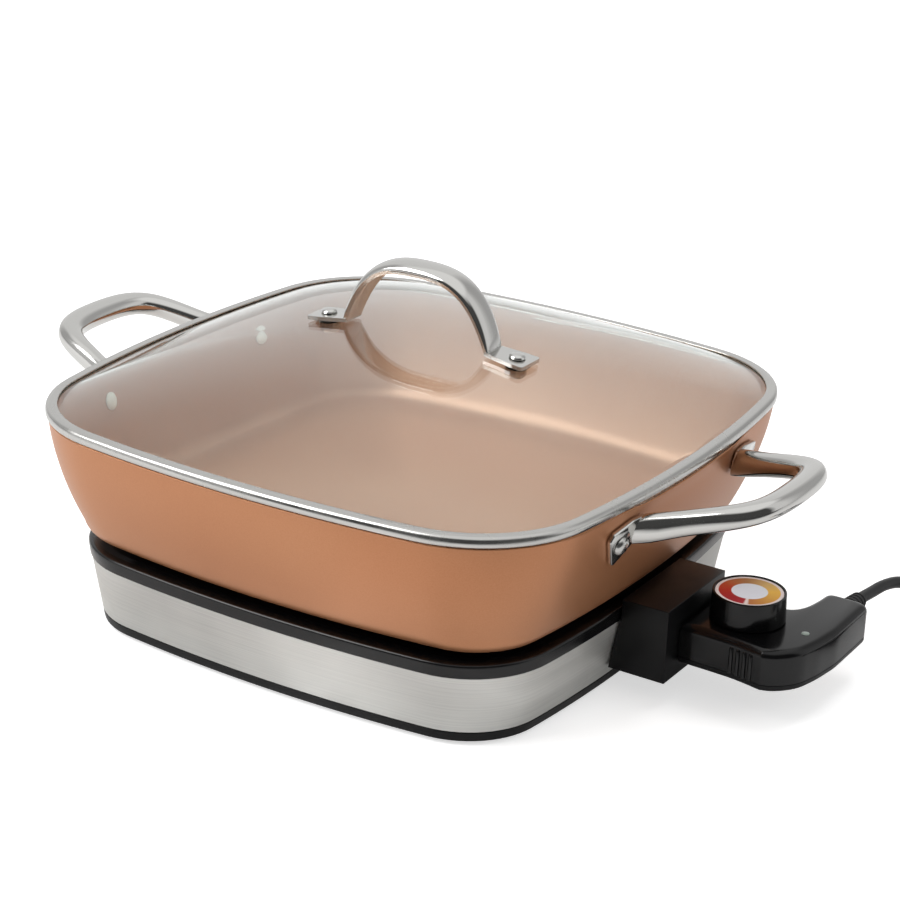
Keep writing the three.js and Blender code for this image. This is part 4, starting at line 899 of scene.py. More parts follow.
@dataclass
class Studio:
    """Floor, lamps, world and camera.

    Attributes:
        azimuth: The camera's angle round the skillet, in degrees.
        elevation: Its angle above the horizon.
        roll: Its roll.
        distance: From the target, in millimetres.
        target: What it looks at.
        focal_share: Focal length as a share of the picture's width.
        sensor: Width of its sensor, in millimetres.
        floor_half: Half the floor's width, in metres.
        floor_glow: Light that the floor adds for the camera.
        floor_gleam: Light that it adds for reflections.
        sweep: That light along the floor beside the base: place along X in metres and level.
        sweep_half: Half the length of that strip, in metres.
        strip: Places along Y between which the strip gives way to the rest, in metres.
        dusk: Light of the floor far in front, which reflections show.
        dusk_reach: Distances in front between which it begins, in metres.
        world_level: Light of the room.
        panels: Range of the panels' light that reflections show in the room.
        panel_count: Panels in 2 pi of a turn, and where the first one is.
        panel_light: Least and greatest share of it, and the wave's values there.
        panels_behind: Shares in front between which the panels begin.
        ceiling: Heights between which reflections show a white ceiling.
        lamps: The lamps.
    """

    azimuth: float = 31.611
    elevation: float = 21.861
    roll: float = 2.089
    distance: float = 1268.063
    target: Vector = field(default_factory=lambda: Vector((10.794, 13.852, 82)))
    focal_share: float = 2475.265 / 900
    sensor: float = 36.0
    floor_half: float = 6.0
    floor_glow: float = 0.6
    floor_gleam: float = 0.15
    sweep: tuple[Point2, ...] = (
        (-0.2, 0.1), (-0.07, 0.1), (-0.01, 0.2), (0.01, 0.38), (0.024, 0.52), (0.032, 0.34),
        (0.055, 0.3), (0.072, 0.18), (0.09, 0.1), (0.138, 0.14), (0.145, 0.3), (0.15, 0.05),
        (0.2, 0.05))
    sweep_half: float = 0.2
    strip: Point2 = (-0.26, -0.2)
    dusk: float = 0.06
    dusk_reach: Point2 = (0.3, 0.6)
    world_level: float = 0.48
    panels: Point2 = (0.07, 0.82)
    panel_count: Point2 = (3.0, 1.1)
    panel_light: Place = (-0.9, 0.2, 0.55, 1.0)
    panels_behind: Point2 = (0.5, 0.3)
    ceiling: Point2 = (0.6, 0.85)
    lamps: tuple[Lamp, ...] = (
        Lamp("key", 20, 1100, (-900, -1000, 1300), True),
        Lamp("top", 9, 900, (100, 500, 1500)),
        Lamp("side", 1.5, 700, (1300, 300, 800)))

    def build(self) -> None:
        """Builds the studio."""
        self.camera()
        self.floor()
        self.world()
        for lamp in self.lamps:
            self.hang(lamp)

    def camera(self) -> None:
        """Places the camera at the photograph's viewing angle."""
        a, e, roll = (math.radians(x) for x in (self.azimuth, self.elevation, self.roll))
        back = Vector((math.sin(a) * math.cos(e), -math.cos(a) * math.cos(e), math.sin(e)))
        right = Vector((math.cos(a), math.sin(a), 0))
        rise = back.cross(right)
        across = right * math.cos(roll) + rise * math.sin(roll)
        upward = rise * math.cos(roll) - right * math.sin(roll)
        data = bpy.data.cameras.new("studio_camera")
        data.sensor_width, data.lens = self.sensor, self.sensor * self.focal_share
        data.clip_start, data.clip_end = 0.01, 100
        made = bpy.data.objects.new("studio_camera", data)
        turned = Matrix((across, upward, back)).transposed().to_4x4()
        spot = MIDDLE + (self.target + back * self.distance) * MM
        made.matrix_world = Matrix.Translation(spot) @ turned
        bpy.context.scene.collection.objects.link(made)
        bpy.context.scene.camera = made

    def in_front(self, graph: Graph, place: NodeSocket) -> NodeSocket:
        """Tells how far a place lies in front, on the camera's side."""
        turned = math.radians(self.azimuth)
        forward = (math.sin(turned), -math.cos(turned), 0)
        dot = graph.add("VectorMath", {0: place, 1: forward}, operation="DOT_PRODUCT")
        return dot.outputs["Value"]

    def gleam(self, graph: Graph, place: NodeSocket) -> NodeSocket:
        """Gives the floor's light for reflections: uneven beside the base, even elsewhere."""
        x, y, _ = graph.parts(place)
        half = self.sweep_half
        along = graph.ramp(graph.remap(x, -half, half),
                           [((at + half) / (2 * half), (level, level, level, 1))
                            for at, level in self.sweep])
        beside = graph.remap(y, *self.strip)
        return graph.add("Mix", {0: beside, 2: self.floor_gleam, 3: along}).outputs[0]

    def floor(self) -> None:
        """Lays a wide white floor that keeps the skillet's shadow."""
        mesh = bmesh.new()
        bmesh.ops.create_grid(mesh, x_segments=1, y_segments=1, size=self.floor_half)
        data = bpy.data.meshes.new("studio_floor")
        mesh.to_mesh(data)
        mesh.free()
        material = bpy.data.materials.new("white_paper")
        material.use_nodes = True
        material.node_tree.nodes.clear()
        graph = Graph(material.node_tree)
        path = graph.add("LightPath").outputs
        place = graph.add("TexCoord").outputs["Object"]
        seen = graph.maths("MAXIMUM", path["Is Camera Ray"], path["Is Transmission Ray"])
        lit = graph.maths("MULTIPLY", seen, self.floor_glow)
        shown = graph.maths("MULTIPLY", path["Is Glossy Ray"], self.gleam(graph, place))
        paper = graph.add("BsdfDiffuse", {"Color": linear("#E6E6E6")})
        glow = graph.light("Emission", graph.maths("MAXIMUM", lit, shown))
        bright = graph.add("AddShader", {0: paper.outputs[0], 1: glow.outputs[0]})
        far = graph.remap(self.in_front(graph, place), *self.dusk_reach)
        far = graph.maths("MULTIPLY", far, path["Is Glossy Ray"])
        dim = graph.maths("SUBTRACT", far, seen, clamp=True)
        whole = graph.blend(dim, bright, graph.light("Emission", self.dusk))
        graph.add("OutputMaterial", {"Surface": whole.outputs[0]})
        data.materials.append(material)
        made = bpy.data.objects.new("studio_floor", data)
        bpy.context.scene.collection.objects.link(made)

    def world(self) -> None:
        """Surrounds the skillet with a pale room whose panels show in metal and glass."""
        world = bpy.data.worlds.new("studio_world")
        bpy.context.scene.world = world
        world.use_nodes = True
        world.node_tree.nodes.clear()
        graph = Graph(world.node_tree)
        path = graph.add("LightPath").outputs
        way = graph.add("TexCoord").outputs["Generated"]
        x, y, z = graph.parts(way)
        behind = graph.remap(self.in_front(graph, way), *self.panels_behind)
        wave = graph.maths("MULTIPLY_ADD", graph.maths("ARCTAN2", y, x), *self.panel_count)
        panel = graph.remap(graph.maths("SINE", wave), *self.panel_light)
        side = graph.remap(graph.maths("MULTIPLY", panel, behind), 0.0, 1.0, *self.panels)
        level = graph.maths("MAXIMUM", side, graph.remap(z, *self.ceiling))
        shiny = graph.blend(path["Is Glossy Ray"], graph.light("Background", self.world_level),
                            graph.light("Background", level))
        clear = graph.maths("ADD", path["Is Camera Ray"], path["Is Transmission Ray"], clamp=True)
        both = graph.blend(clear, shiny, graph.light("Background", 1.0))
        graph.add("OutputWorld", {"Surface": both.outputs[0]})

    def hang(self, lamp: Lamp) -> None:
        """Hangs a lamp that looks at the skillet's middle."""
        data = bpy.data.lights.new(f"{lamp.name}_lamp", "AREA")
        data.energy, data.size = lamp.watts, lamp.width * MM
        made = bpy.data.objects.new(f"{lamp.name}_lamp", data)
        made.location = spot = Vector(lamp.place) * MM
        made.rotation_mode = "QUATERNION"
        made.rotation_quaternion = (Vector((0, 0, 0.08)) - spot).to_track_quat("-Z", "Y")
        made.visible_glossy = made.visible_transmission = lamp.reflected
        bpy.context.scene.collection.objects.link(made)


# Sub-assemblies


@dataclass
class HeatedBase:
    """The base: black rims, a steel band, feet, the socket and what lies under the pan.

    Attributes:
        palette: The finishes.
        outline: Outline of its foot.
        draft: How much half the width grows with the height.
        trim_lip: Height of the trim's lip behind the band.
        trim_ledge: Half width inside the trim's ledge.
        rim_drop: Height of the rim's skirt behind the band.
        plate_half: Half width of the heating plate.
        plate_steps: Inset and height up the plate's edge and over its two grooves.
        ways: Place and radius of the three holes that the pins and the probe pass.
    """

    palette: Palette
    outline: BowedSquare = BowedSquare(130, 41, 764)
    draft: float = 0.171
    band_thick: float = 1
    trim_low: float = 2
    trim_high: float = 7
    trim_lip: float = 11.6
    trim_floor: float = 5
    trim_ledge: float = 121
    trim_foot: float = 127
    band_low: float = 7.3
    band_high: float = 37.5
    rim_low: float = 37.8
    rim_high: float = 45
    rim_drop: float = 34.5
    shelf_high: float = 44.2
    shelf_low: float = 42.2
    shelf_half: float = 104.07
    plate_half: float = 114.07
    plate_steps: tuple[Point2, ...] = (
        (0.6, 44.5), (0, 45.1), (0, 46.5), (0.6, 47.1), (6, 47.1), (7, 46.7), (10, 46.7),
        (11, 47.1), (16, 47.1), (17, 46.7), (20, 46.7), (21, 47.1))
    foot_place: float = 92
    foot_profile: tuple[Corner2, ...] = (
        (0, 0.6, 0), (5.6, 0.6, 0.3), (6.2, 0, 0.3), (9.9, 0, 0.9), (10, 3.2, 0), (0, 3.2, 0))
    window: tuple[Point3, Point3] = ((120, -22.3, 13.7), (166, 22.3, 34.5))
    neck: tuple[Point3, Point3] = ((128.57, -22, 14), (158, 22, 34.2))
    mouth: tuple[Point3, Point3] = ((144.57, -13.9, 22), (166, 13.9, 35.3))
    pocket: tuple[Point3, Point3] = ((126, -13.6, 22.3), (133.2, 13.6, 32.8))
    ways: tuple[Point2, ...] = ((-9, 2.8), (0, 3.2), (9, 2.8))
    way_start: float = 131
    way_length: float = 14
    way_height: float = 28.3
    block_reach: float = 162.57
    block_half: float = 30
    block_low: float = 12
    block_step: float = 41.8
    block_high: float = 50
    block_rounding: float = 0.8

    def line(self, height: float) -> float:
        """Gives the base's half width at a height."""
        return self.outline.half + self.draft * (height - self.trim_low)

    def build(self) -> None:
        """Builds the base."""
        self.trim()
        self.band()
        self.rim()
        self.plate()
        self.feet()
        self.socket()
        self.inside()

    def trim(self) -> None:
        """Bottom trim: a black moulding under the steel band, with a lip behind it."""
        low, high, wall = self.trim_low, self.trim_high, self.line(self.trim_high)
        lip_outer, lip_inner = wall - 1.3, wall - 3.3
        blank = Blank.carried(
            [(self.line(low), low, 0.9), (wall, high, 0.5), (lip_outer, high, 0),
             (lip_outer, self.trim_lip, 0), (lip_inner, self.trim_lip, 0), (lip_inner, high, 0),
             (self.trim_ledge, high, 0), (self.trim_ledge, self.trim_floor, 0),
             (self.trim_foot, self.trim_floor, 0), (self.trim_foot, low, 0)], self.outline)
        blank.piece("base_bottom_trim", Body.BASE, [self.palette.satin], "body_black",
                    ["bottom_trim"])

    def band(self) -> None:
        """Steel band with a window for the socket's neck."""
        edge = 0.2
        places = [(self.line(height) - inset, height, edge) for inset, height in (
            (0, self.band_low), (0, self.band_high), (self.band_thick, self.band_high),
            (self.band_thick, self.band_low))]
        blank = Blank.carried(places, self.outline).combine(Blank.box(*self.window), "DIFFERENCE")
        blank.piece("base_steel_band", Body.BASE, [self.palette.band], "band_steel", ["steel_band"])

    def rim(self) -> None:
        """Top rim: a glossy rounded shoulder, a skirt behind the band and a shelf inside."""
        wall, low = self.line(self.band_high), self.rim_low
        skirt_outer, skirt_inner = wall - 1.8, wall - 3.8
        blank = Blank.carried(
            [(wall + 0.6, low, 0.4), (wall + 1.5, self.rim_high, 3.4), (wall - 3, self.rim_high, 2),
             (wall - 8, self.shelf_high, 2), (self.shelf_half, self.shelf_high, 0.4),
             (self.shelf_half, self.shelf_low, 0), (skirt_inner, self.shelf_low, 0),
             (skirt_inner, self.rim_drop, 0), (skirt_outer, self.rim_drop, 0),
             (wall - 1.3, low, 0)], self.outline)
        blank.piece("base_top_rim", Body.BASE, [self.palette.rim], "rim_black", ["top_rim"])

    def plate(self) -> None:
        """Heating plate: cast, with two shallow grooves round its face."""
        blank = Blank()
        square = self.outline.grown(self.plate_half - self.outline.half)
        rings = [blank.ring(square.grown(-inset), height) for inset, height in self.plate_steps]
        blank.bridge(rings)
        blank.cap(rings[0])
        blank.cap(rings[-1])
        blank.piece("base_heating_plate", Body.BASE, [self.palette.cast], "plate_aluminium",
                    ["heating_plate"], 30)

    def feet(self) -> None:
        """Four rubber feet, each with a ring groove under it."""
        place, profile = self.foot_place, filleted(self.foot_profile, False)
        for name, x, y in (("front_left", -1, -1), ("front_right", 1, -1), ("rear_right", 1, 1),
                           ("rear_left", -1, 1)):
            blank = Blank.turned(profile).shift(x * place, y * place)
            blank.piece(f"base_foot_{name}", Body.BASE, [self.palette.rubber], "rubber_black",
                        [f"foot_{name}"])

    def socket(self) -> None:
        """Socket block with a mouth for the control's nose, round pin ways and a neck."""
        start, wall = self.line(self.block_low) + 0.3, self.line(self.band_high)
        half = self.block_half
        whole = Blank.slab(
            [(start, self.block_low), (self.block_reach, self.block_low),
             (self.block_reach, self.block_high), (wall + 1.6, self.block_high),
             (wall + 1.6, self.block_step), (wall + 0.9, self.band_high),
             (wall + 0.3, self.band_high)], -half, half)
        whole.move(Matrix.Rotation(math.pi / 2, 4, "X"))

        def outermost(edge: BMEdge) -> bool:
            """Tells whether an edge lies on the block's far face or on its sides."""
            far = max(v.co.x for v in edge.verts) > self.block_reach - 0.5
            return far or min(abs(v.co.y) for v in edge.verts) > half - 0.1

        whole.soften(self.block_rounding, 3, 40, outermost)
        whole = whole.combine(Blank.box(*self.neck), "UNION")
        for hollow in (self.mouth, self.pocket):
            whole = whole.combine(Blank.box(*hollow), "DIFFERENCE")
        for y, radius in self.ways:
            length = self.way_length
            way = Blank.turned([(0, 0), (radius, 0), (radius, length), (0, length)], 24)
            way.aim(Vector((self.way_start, y, self.way_height)), ALONG_X)
            whole = whole.combine(way, "DIFFERENCE")
        whole.piece("base_socket_block", Body.BASE, [self.palette.satin], "body_black",
                    ["socket_block"])

    def inside(self) -> None:
        """Gives the solids inside the base their finishes."""
        corners = ("front_left", "front_right", "rear_right", "rear_left")
        dress(self.palette.plain_steel, "bottom_cover", "heat_shield",
              *(f"{kind}_{corner}" for kind in ("post", "cover_screw") for corner in corners))
        dress(self.palette.sheath, "heating_element")
        dress(self.palette.ceramic, "pin_carrier")
        dress(self.palette.cast, "probe_sleeve")
        dress(self.palette.polished, "pin_front", "pin_rear")


@dataclass
class WallPlace:
    """A place on the outside of the pan's wall on the +X side, with its directions."""

    point: Vector
    normal: Vector
    up: Vector
    across: Vector


@dataclass
class Pan:
    """The pan: a coated shell with a machined lip, two looped handles and their rivets.

    Attributes:
        palette: The finishes.
        low: Height of its foot.
        roll: Radius of the roll from foot to wall.
        roll_half: Half width at which the roll begins.
        side: Radius of its bowed sides.
        corners: Corner radius at the foot, where the roll meets the wall, and at the lip.
        wall_lean: Lean of the wall above the roll.
        lip_lean: Lean of the wall under the lip.
        spout_zone: Height of the wall that a spout spreads.
        spout_reach: Where along the side a spout ends.
        rivet_drop: Depth of the rivets under the lip.
        grip_rise: How far the grip rises over its reach.
        grip_sizes: Half width and half height of the grip at its ends and at its middle.
        tab_outline: Outline of a handle's tab about its rivet.
    """

    palette: Palette
    low: float = 47.4
    tall: float = 63.8
    wall: float = 3
    floor: float = 4.4
    roll: float = 18
    roll_half: float = 123.47
    roll_steps: int = 8
    wall_steps: int = 20
    lip_half: float = 156.17
    lip_rounding: float = 0.45
    side: float = 700
    corners: Corner2 = (33, 48.4, 65)
    wall_lean: float = math.radians(25)
    lip_lean: float = math.radians(8)
    spout_zone: float = 9
    spout_reach: float = 63
    spout_fade: float = 16
    spout_spread: float = 0.6
    spout_dip: float = 1.0
    rivet_y: float = 65
    rivet_drop: float = 15.7
    grip_y: float = 51.7
    grip_drop: float = 13.1
    grip_reach: float = 55.4
    grip_rise: float = 16.6
    grip_sink: float = 1.5
    grip_sizes: tuple[Point2, Point2] = ((4.8, 6.1), (7.1, 5.3))
    tab_outline: tuple[Corner2, ...] = (
        (-2.2, -11.6, 2.4), (17, 0.6, 1.5), (17, 10.8, 1), (7, 10.8, 3), (-7.2, 8, 2),
        (-9.4, 4.2, 2))
    head_profile: tuple[Point2, ...] = (
        (0, -3.3), (2.6, -3.3), (2.6, 2.9), (4.4, 2.9), (4.6, 3.2), (4.3, 4.2), (3.5, 5.0),
        (2.2, 5.5), (0, 5.7))
    tail_profile: tuple[Point2, ...] = (
        (0, -5.2), (1.6, -5.1), (2.9, -4.75), (3.8, -4.2), (4.3, -3.6), (4.3, -3.3), (0, -3.3))
    places: list[Place] = field(default_factory=list)

    @property
    def lip(self) -> float:
        """Height of the lip."""
        return self.low + self.tall

    @property
    def roll_high(self) -> float:
        """Height at which the roll meets the wall."""
        return self.low + self.roll * (1 - math.sin(self.wall_lean))

    def profile(self) -> list[Place]:
        """Gives half width, height and outward normal up the pan's outside."""
        places = []
        for i in range(self.roll_steps):
            angle = (math.pi / 2 - self.wall_lean) * i / self.roll_steps - math.pi / 2
            out, rise = math.cos(angle), math.sin(angle)
            places.append((self.roll_half + self.roll * out, self.low + self.roll * (1 + rise),
                           out, rise))
        start = Vector((self.roll_half + self.roll * math.cos(self.wall_lean), self.roll_high))
        end = Vector((self.lip_half, self.lip))
        up = Vector((math.sin(self.wall_lean), math.cos(self.wall_lean)))
        down = Vector((-math.sin(self.lip_lean), -math.cos(self.lip_lean)))
        knee = start + up * ((end - start).cross(down) / up.cross(down))
        for share in [*(i / self.wall_steps for i in range(self.wall_steps)), 0.975, 0.99]:
            spot = bezier((start, knee, end), share)
            way = (knee - start).lerp(end - knee, share).normalized()
            places.append((spot.x, spot.y, way.y, -way.x))
        return places

    def corner(self, height: float) -> float:
        """Gives the pan's corner radius at a height."""
        foot, wall, lip = self.corners
        if height < self.roll_high:
            return mix(foot, wall, (height - self.low) / (self.roll_high - self.low))
        return mix(wall, lip, (height - self.roll_high) / (self.lip - self.roll_high))

    def ring(self, blank: Blank, place: Place, inwards: float) -> list[BMEdge]:
        """Draws a ring of the wall, with its spouts spread and dipped.

        Args:
            blank: The workpiece.
            place: Half width, height and outward normal on the wall's outside.
            inwards: How far the ring is moved inwards.

        Returns:
            The ring's edges.
        """
        half, height, out, rise = place
        step = inwards * out
        square = BowedSquare(half - step, self.corner(height) - step, self.side - step)
        edges = blank.ring(square, height - inwards * rise)
        share = ease((height - self.lip) / self.spout_zone + 1)
        if share > 0:
            for vert in {v for e in edges for v in e.verts}:
                x, y, _ = vert.co
                here = ease((self.spout_reach - abs(y)) / self.spout_fade) * share
                if abs(x) > abs(y):
                    spread = math.copysign(self.spout_spread, x)
                    vert.co += Vector((spread, 0, -self.spout_dip)) * here
        return edges

    def build(self) -> None:
        """Builds the pan."""
        self.places = self.profile()
        self.shell()
        self.handles()
        self.rivets()

    def shell(self) -> None:
        """Shell: copper outside, ceramic lining inside and a bright machined lip."""
        copper, bright, lined = range(3)
        blank, floor = Blank(), self.low + self.floor
        lip = (self.lip_half, self.lip, 1.0, 0.0)
        rounding = [(self.lip_half, self.lip - self.lip_rounding, 1.0, 0.0),
                    (self.lip_half - self.lip_rounding, self.lip, 1.0, 0.0)]
        outer = [self.ring(blank, place, 0) for place in self.places + rounding]
        kept = [p for p in [*self.places, lip] if p[1] - self.wall * p[3] > floor + 0.3]
        inner = [self.ring(blank, place, self.wall) for place in reversed(kept)]
        foot = BowedSquare(self.roll_half, self.corners[0], self.side)
        bottom, middle = blank.ring(foot, floor), blank.ring(foot.grown(-8), floor)
        blank.bridge(outer, copper)
        blank.bridge([outer[-1], *inner[:2]], bright)
        blank.bridge([*inner[1:], bottom, middle], lined)
        blank.cap(middle, lined)
        hollow = self.low + 0.5
        sole = [blank.ring(foot.grown(-inset), height) for inset, height in (
            (6, self.low), (7, hollow), (60, hollow), (61, self.low))]
        blank.bridge([outer[0], *sole], copper)
        blank.cap(sole[-1], copper)
        finishes = [self.palette.copper, self.palette.edge, self.palette.lining]
        blank.piece("pan_shell_coated", Body.PAN, finishes, "pan_copper", ["pan_shell"], 40)

    def wall_place(self, y: float, z: float) -> WallPlace:
        """Finds a place on the outside of the wall on the +X side."""
        i = 1
        while i < len(self.places) - 1 and self.places[i][1] < z:
            i += 1
        low, high = self.places[i - 1], self.places[i]
        half = mix(low[0], high[0], (z - low[1]) / (high[1] - low[1]))
        turn = math.asin(y / self.side)
        lean = math.atan2(high[0] - low[0], high[1] - low[1])
        point = Vector((half - self.side * (1 - math.cos(turn)), y, z))
        normal = Vector((math.cos(lean) * math.cos(turn), math.cos(lean) * math.sin(turn),
                         -math.sin(lean)))
        up = (UP - normal * UP.dot(normal)).normalized()
        return WallPlace(point, normal, up, up.cross(normal))

    def grip(self) -> Blank:
        """Grip: a rounded bar that leaves the tabs, rises and returns."""
        height, reach = self.lip - self.grip_drop, self.grip_reach
        seats = [self.wall_place(side * self.grip_y, height) for side in (1, -1)]
        start = seats[0].point.x + self.grip_sink
        knots = [Vector((along * reach, across * self.grip_y)) for along, across in (
            (0, 1), (0.759, 0.662), (1, 0.852), (1, 0))]
        plan = there_and_back(knots, 24, (1, -1))
        spots = [Vector((start + p.x, p.y, height + self.grip_rise * p.x / reach
                         - 0.8 * (p.x / reach) ** 2)) for p in plan]
        tilt = math.atan2(self.grip_rise, reach)
        frames = framed(spots, [Vector((-math.sin(tilt), 0, math.cos(tilt)))] * len(spots))
        for i, side in ((0, 1), (-1, -1)):
            seat = seats[i]
            frames[i] = [seat.point + seat.normal * self.grip_sink, seat.up, seat.across * side]
        (end_wide, end_tall), (middle_wide, middle_tall) = self.grip_sizes
        sections = []
        for i, (spot, rise, across) in enumerate(frames):
            share = (plan[i].x / reach) ** 2
            flare = 1 + 0.16 * (1 - ease(min(i, len(frames) - 1 - i) / 5))
            wide = mix(end_wide, middle_wide, share)
            tall = mix(end_tall, middle_tall, share) * flare
            sections.append([spot + across * a * wide + rise * u * tall
                             for a, u in squared_circle(28, 0.82)])
        return Blank.skinned(sections)

    def tab(self, side: int) -> Blank:
        """Flat tab that lies on the wall, blunt at its free end and drawn down under the rivet."""
        seat = self.wall_place(side * self.rivet_y, self.lip - self.rivet_drop)
        blank = Blank.slab(filleted(self.tab_outline), 0.3, 2.7)
        blank.soften(0.5, 2, 60)
        return blank.lay(seat.point, (seat.across * -side, seat.up, seat.normal))

    def handles(self) -> None:
        """Two handles, the left one a half turn of the right."""
        for name, turn in (("right", 0.0), ("left", math.pi)):
            blank = self.grip().combine(self.tab(1), "UNION").combine(self.tab(-1), "UNION")
            blank.move(Matrix.Rotation(turn, 4, "Z"))
            blank.piece(f"pan_handle_{name}", Body.PAN, [self.palette.polished], "polished_steel",
                        [f"handle_{name}"], 38)

    def rivets(self) -> None:
        """Four rivets: bright domes outside, white-coated flat domes inside."""
        parts = (("head", self.head_profile, self.palette.rolled, "polished_steel"),
                 ("tail", self.tail_profile, self.palette.white, "rivet_coat"))
        for name, side, turn in (("right_front", -1, 0.0), ("right_rear", 1, 0.0),
                                 ("left_rear", -1, math.pi), ("left_front", 1, math.pi)):
            seat = self.wall_place(side * self.rivet_y, self.lip - self.rivet_drop)
            for part, profile, finish, slot in parts:
                blank = Blank.turned(profile).aim(seat.point, seat.normal)
                blank.move(Matrix.Rotation(turn, 4, "Z"))
                blank.piece(f"pan_rivet_{part}_{name}", Body.PAN, [finish], slot,
                            [f"rivet_{name}"] if part == "tail" else [])


@dataclass
class Lid:
    """The lid: a domed glass pane in a rolled steel rim, with an arched strap handle.

    Attributes:
        palette: The finishes.
        outline: Outline of the rim.
        flat: Outline at which the dome begins.
        edge_low: Height of the pane's underside at its edge.
        rise: Height of the dome.
        power: How square the dome's section is.
        dome_shares: Rings of the dome, by share of its half width.
        edge_steps: Inset from the rim and height above edge_low round the pane's edge.
        span: Distance of a screw from the middle.
        strap_half: Half the strap's width.
        strap_inset: Distance of the strap's bend inside a screw.
        strap_top: Height of the strap over the dome.
        pad_outline: Outline of the strap's end about its screw.
    """

    palette: Palette
    outline: BowedSquare = BowedSquare(157.47, 66.3, 701.3)
    flat: BowedSquare = BowedSquare(151.17, 60, 695)
    band_low: float = 111.5
    band_high: float = 117.1
    band_deep: float = 6
    band_thick: float = 0.9
    edge_low: float = 112.7
    edge_high: float = 115.9
    thick: float = 3.4
    rise: float = 29.9
    power: float = 2.4
    dome_side: float = 700
    dome_shares: tuple[float, ...] = (
        1, 0.985, 0.965, 0.94, 0.91, 0.88, 0.84, 0.8, 0.75, 0.7, 0.64, 0.58, 0.52, 0.46, 0.4,
        0.34, 0.28, 0.22, 0.16, 0.1, 0.05)
    edge_steps: tuple[Point2, ...] = ((-1.8, 0), (-1.2, 0.6), (-1.2, 2.6), (-1.8, 3.2))
    span: float = 55.7
    strap_half: float = 9.1
    strap_inset: float = 13.9
    strap_top: float = 33.3
    strap_thick: float = 2
    pad_low: float = 1.2
    pad_end: float = 8
    pad_outline: tuple[Corner2, ...] = (
        (-14.9, -7, 0), (0.8, -9.1, 12), (8, -9.1, 1.7), (8, 9.1, 1.7), (0.8, 9.1, 12),
        (-14.9, 7, 0))
    screw_profile: tuple[Point2, ...] = (
        (0, -7.4), (2, -7.4), (2, 3.5), (4.1, 3.5), (4.2, 3.9), (3.9, 4.6), (3.1, 5.2),
        (1.8, 5.5), (0, 5.5))
    washer_profile: tuple[Corner2, ...] = (
        (2.3, 0.3, 0), (7.5, 0.3, 0.2), (7.5, 0.9, 0.2), (2.3, 0.9, 0), (2.3, 0.3, 0))
    nut_profile: tuple[Point2, ...] = (
        (0, -9.3), (2.6, -9.1), (4.4, -8.4), (5.3, -7.4), (5.5, -6.4), (5.5, -3.9), (5.2, -3.7),
        (2.3, -3.7), (2.3, -7.7), (0, -7.7))

    def height(self, half: float) -> float:
        """Gives the height of the glass's upper face at a half width."""
        return self.edge_high + self.rise * (1 - (half / self.flat.half) ** self.power)

    def build(self) -> None:
        """Builds the lid."""
        self.pane()
        self.band()
        self.handle()
        self.fixings()

    def pane(self) -> None:
        """Glass pane: a squarish dome with a flat edge."""
        blank = Blank()

        def dome(share: float, drop: float) -> list[BMEdge]:
            """Draws a ring of the dome, dropped by a thickness."""
            half = self.flat.half * share
            corner = half * mix(1, self.flat.corner / self.flat.half, share) * 0.995
            square = BowedSquare(half, corner, self.dome_side * share)
            return blank.ring(square, self.height(half) - drop)

        top = [dome(share, 0) for share in self.dome_shares]
        under = [dome(share, self.thick) for share in reversed(self.dome_shares)]
        edge = [blank.ring(self.outline.grown(inset), self.edge_low + height)
                for inset, height in self.edge_steps]
        blank.bridge([*under, *edge, *top])
        blank.cap(top[-1])
        blank.cap(under[0])
        blank.piece("lid_glass_pane", Body.LID, [self.palette.glass], "lid_glass",
                    ["lid_glass"], 50)

    def band(self) -> None:
        """Rolled steel rim that grips the edge of the glass."""
        outer, low, high, thick = self.outline.half, self.band_low, self.band_high, self.band_thick
        inner, lining = outer - self.band_deep, outer - thick
        corners = [(outer, low, 2.3), (outer, high, 3), (inner, high, 0.4),
                   (inner, high - thick, 0.3), (lining, high - thick, 1.0),
                   (lining, low + thick, 0.8), (inner, low + thick, 0.3), (inner, low, 0.4)]
        Blank.carried(corners, self.outline).piece(
            "lid_rolled_rim", Body.LID, [self.palette.rolled], "band_steel", ["lid_band"])

    def seat(self, side: int) -> tuple[Vector, Vector, Vector]:
        """Gives the middle, normal and outward direction of a handle's seat on the glass."""
        inner, outer = self.span - self.strap_inset - 1, self.span + self.pad_end
        lean = math.atan((self.height(inner) - self.height(outer)) / (outer - inner))
        height = self.height(outer) + self.pad_end * math.tan(lean)
        return (Vector((side * self.span, 0, height)),
                Vector((side * math.sin(lean), 0, math.cos(lean))),
                Vector((side * math.cos(lean), 0, -math.sin(lean))))

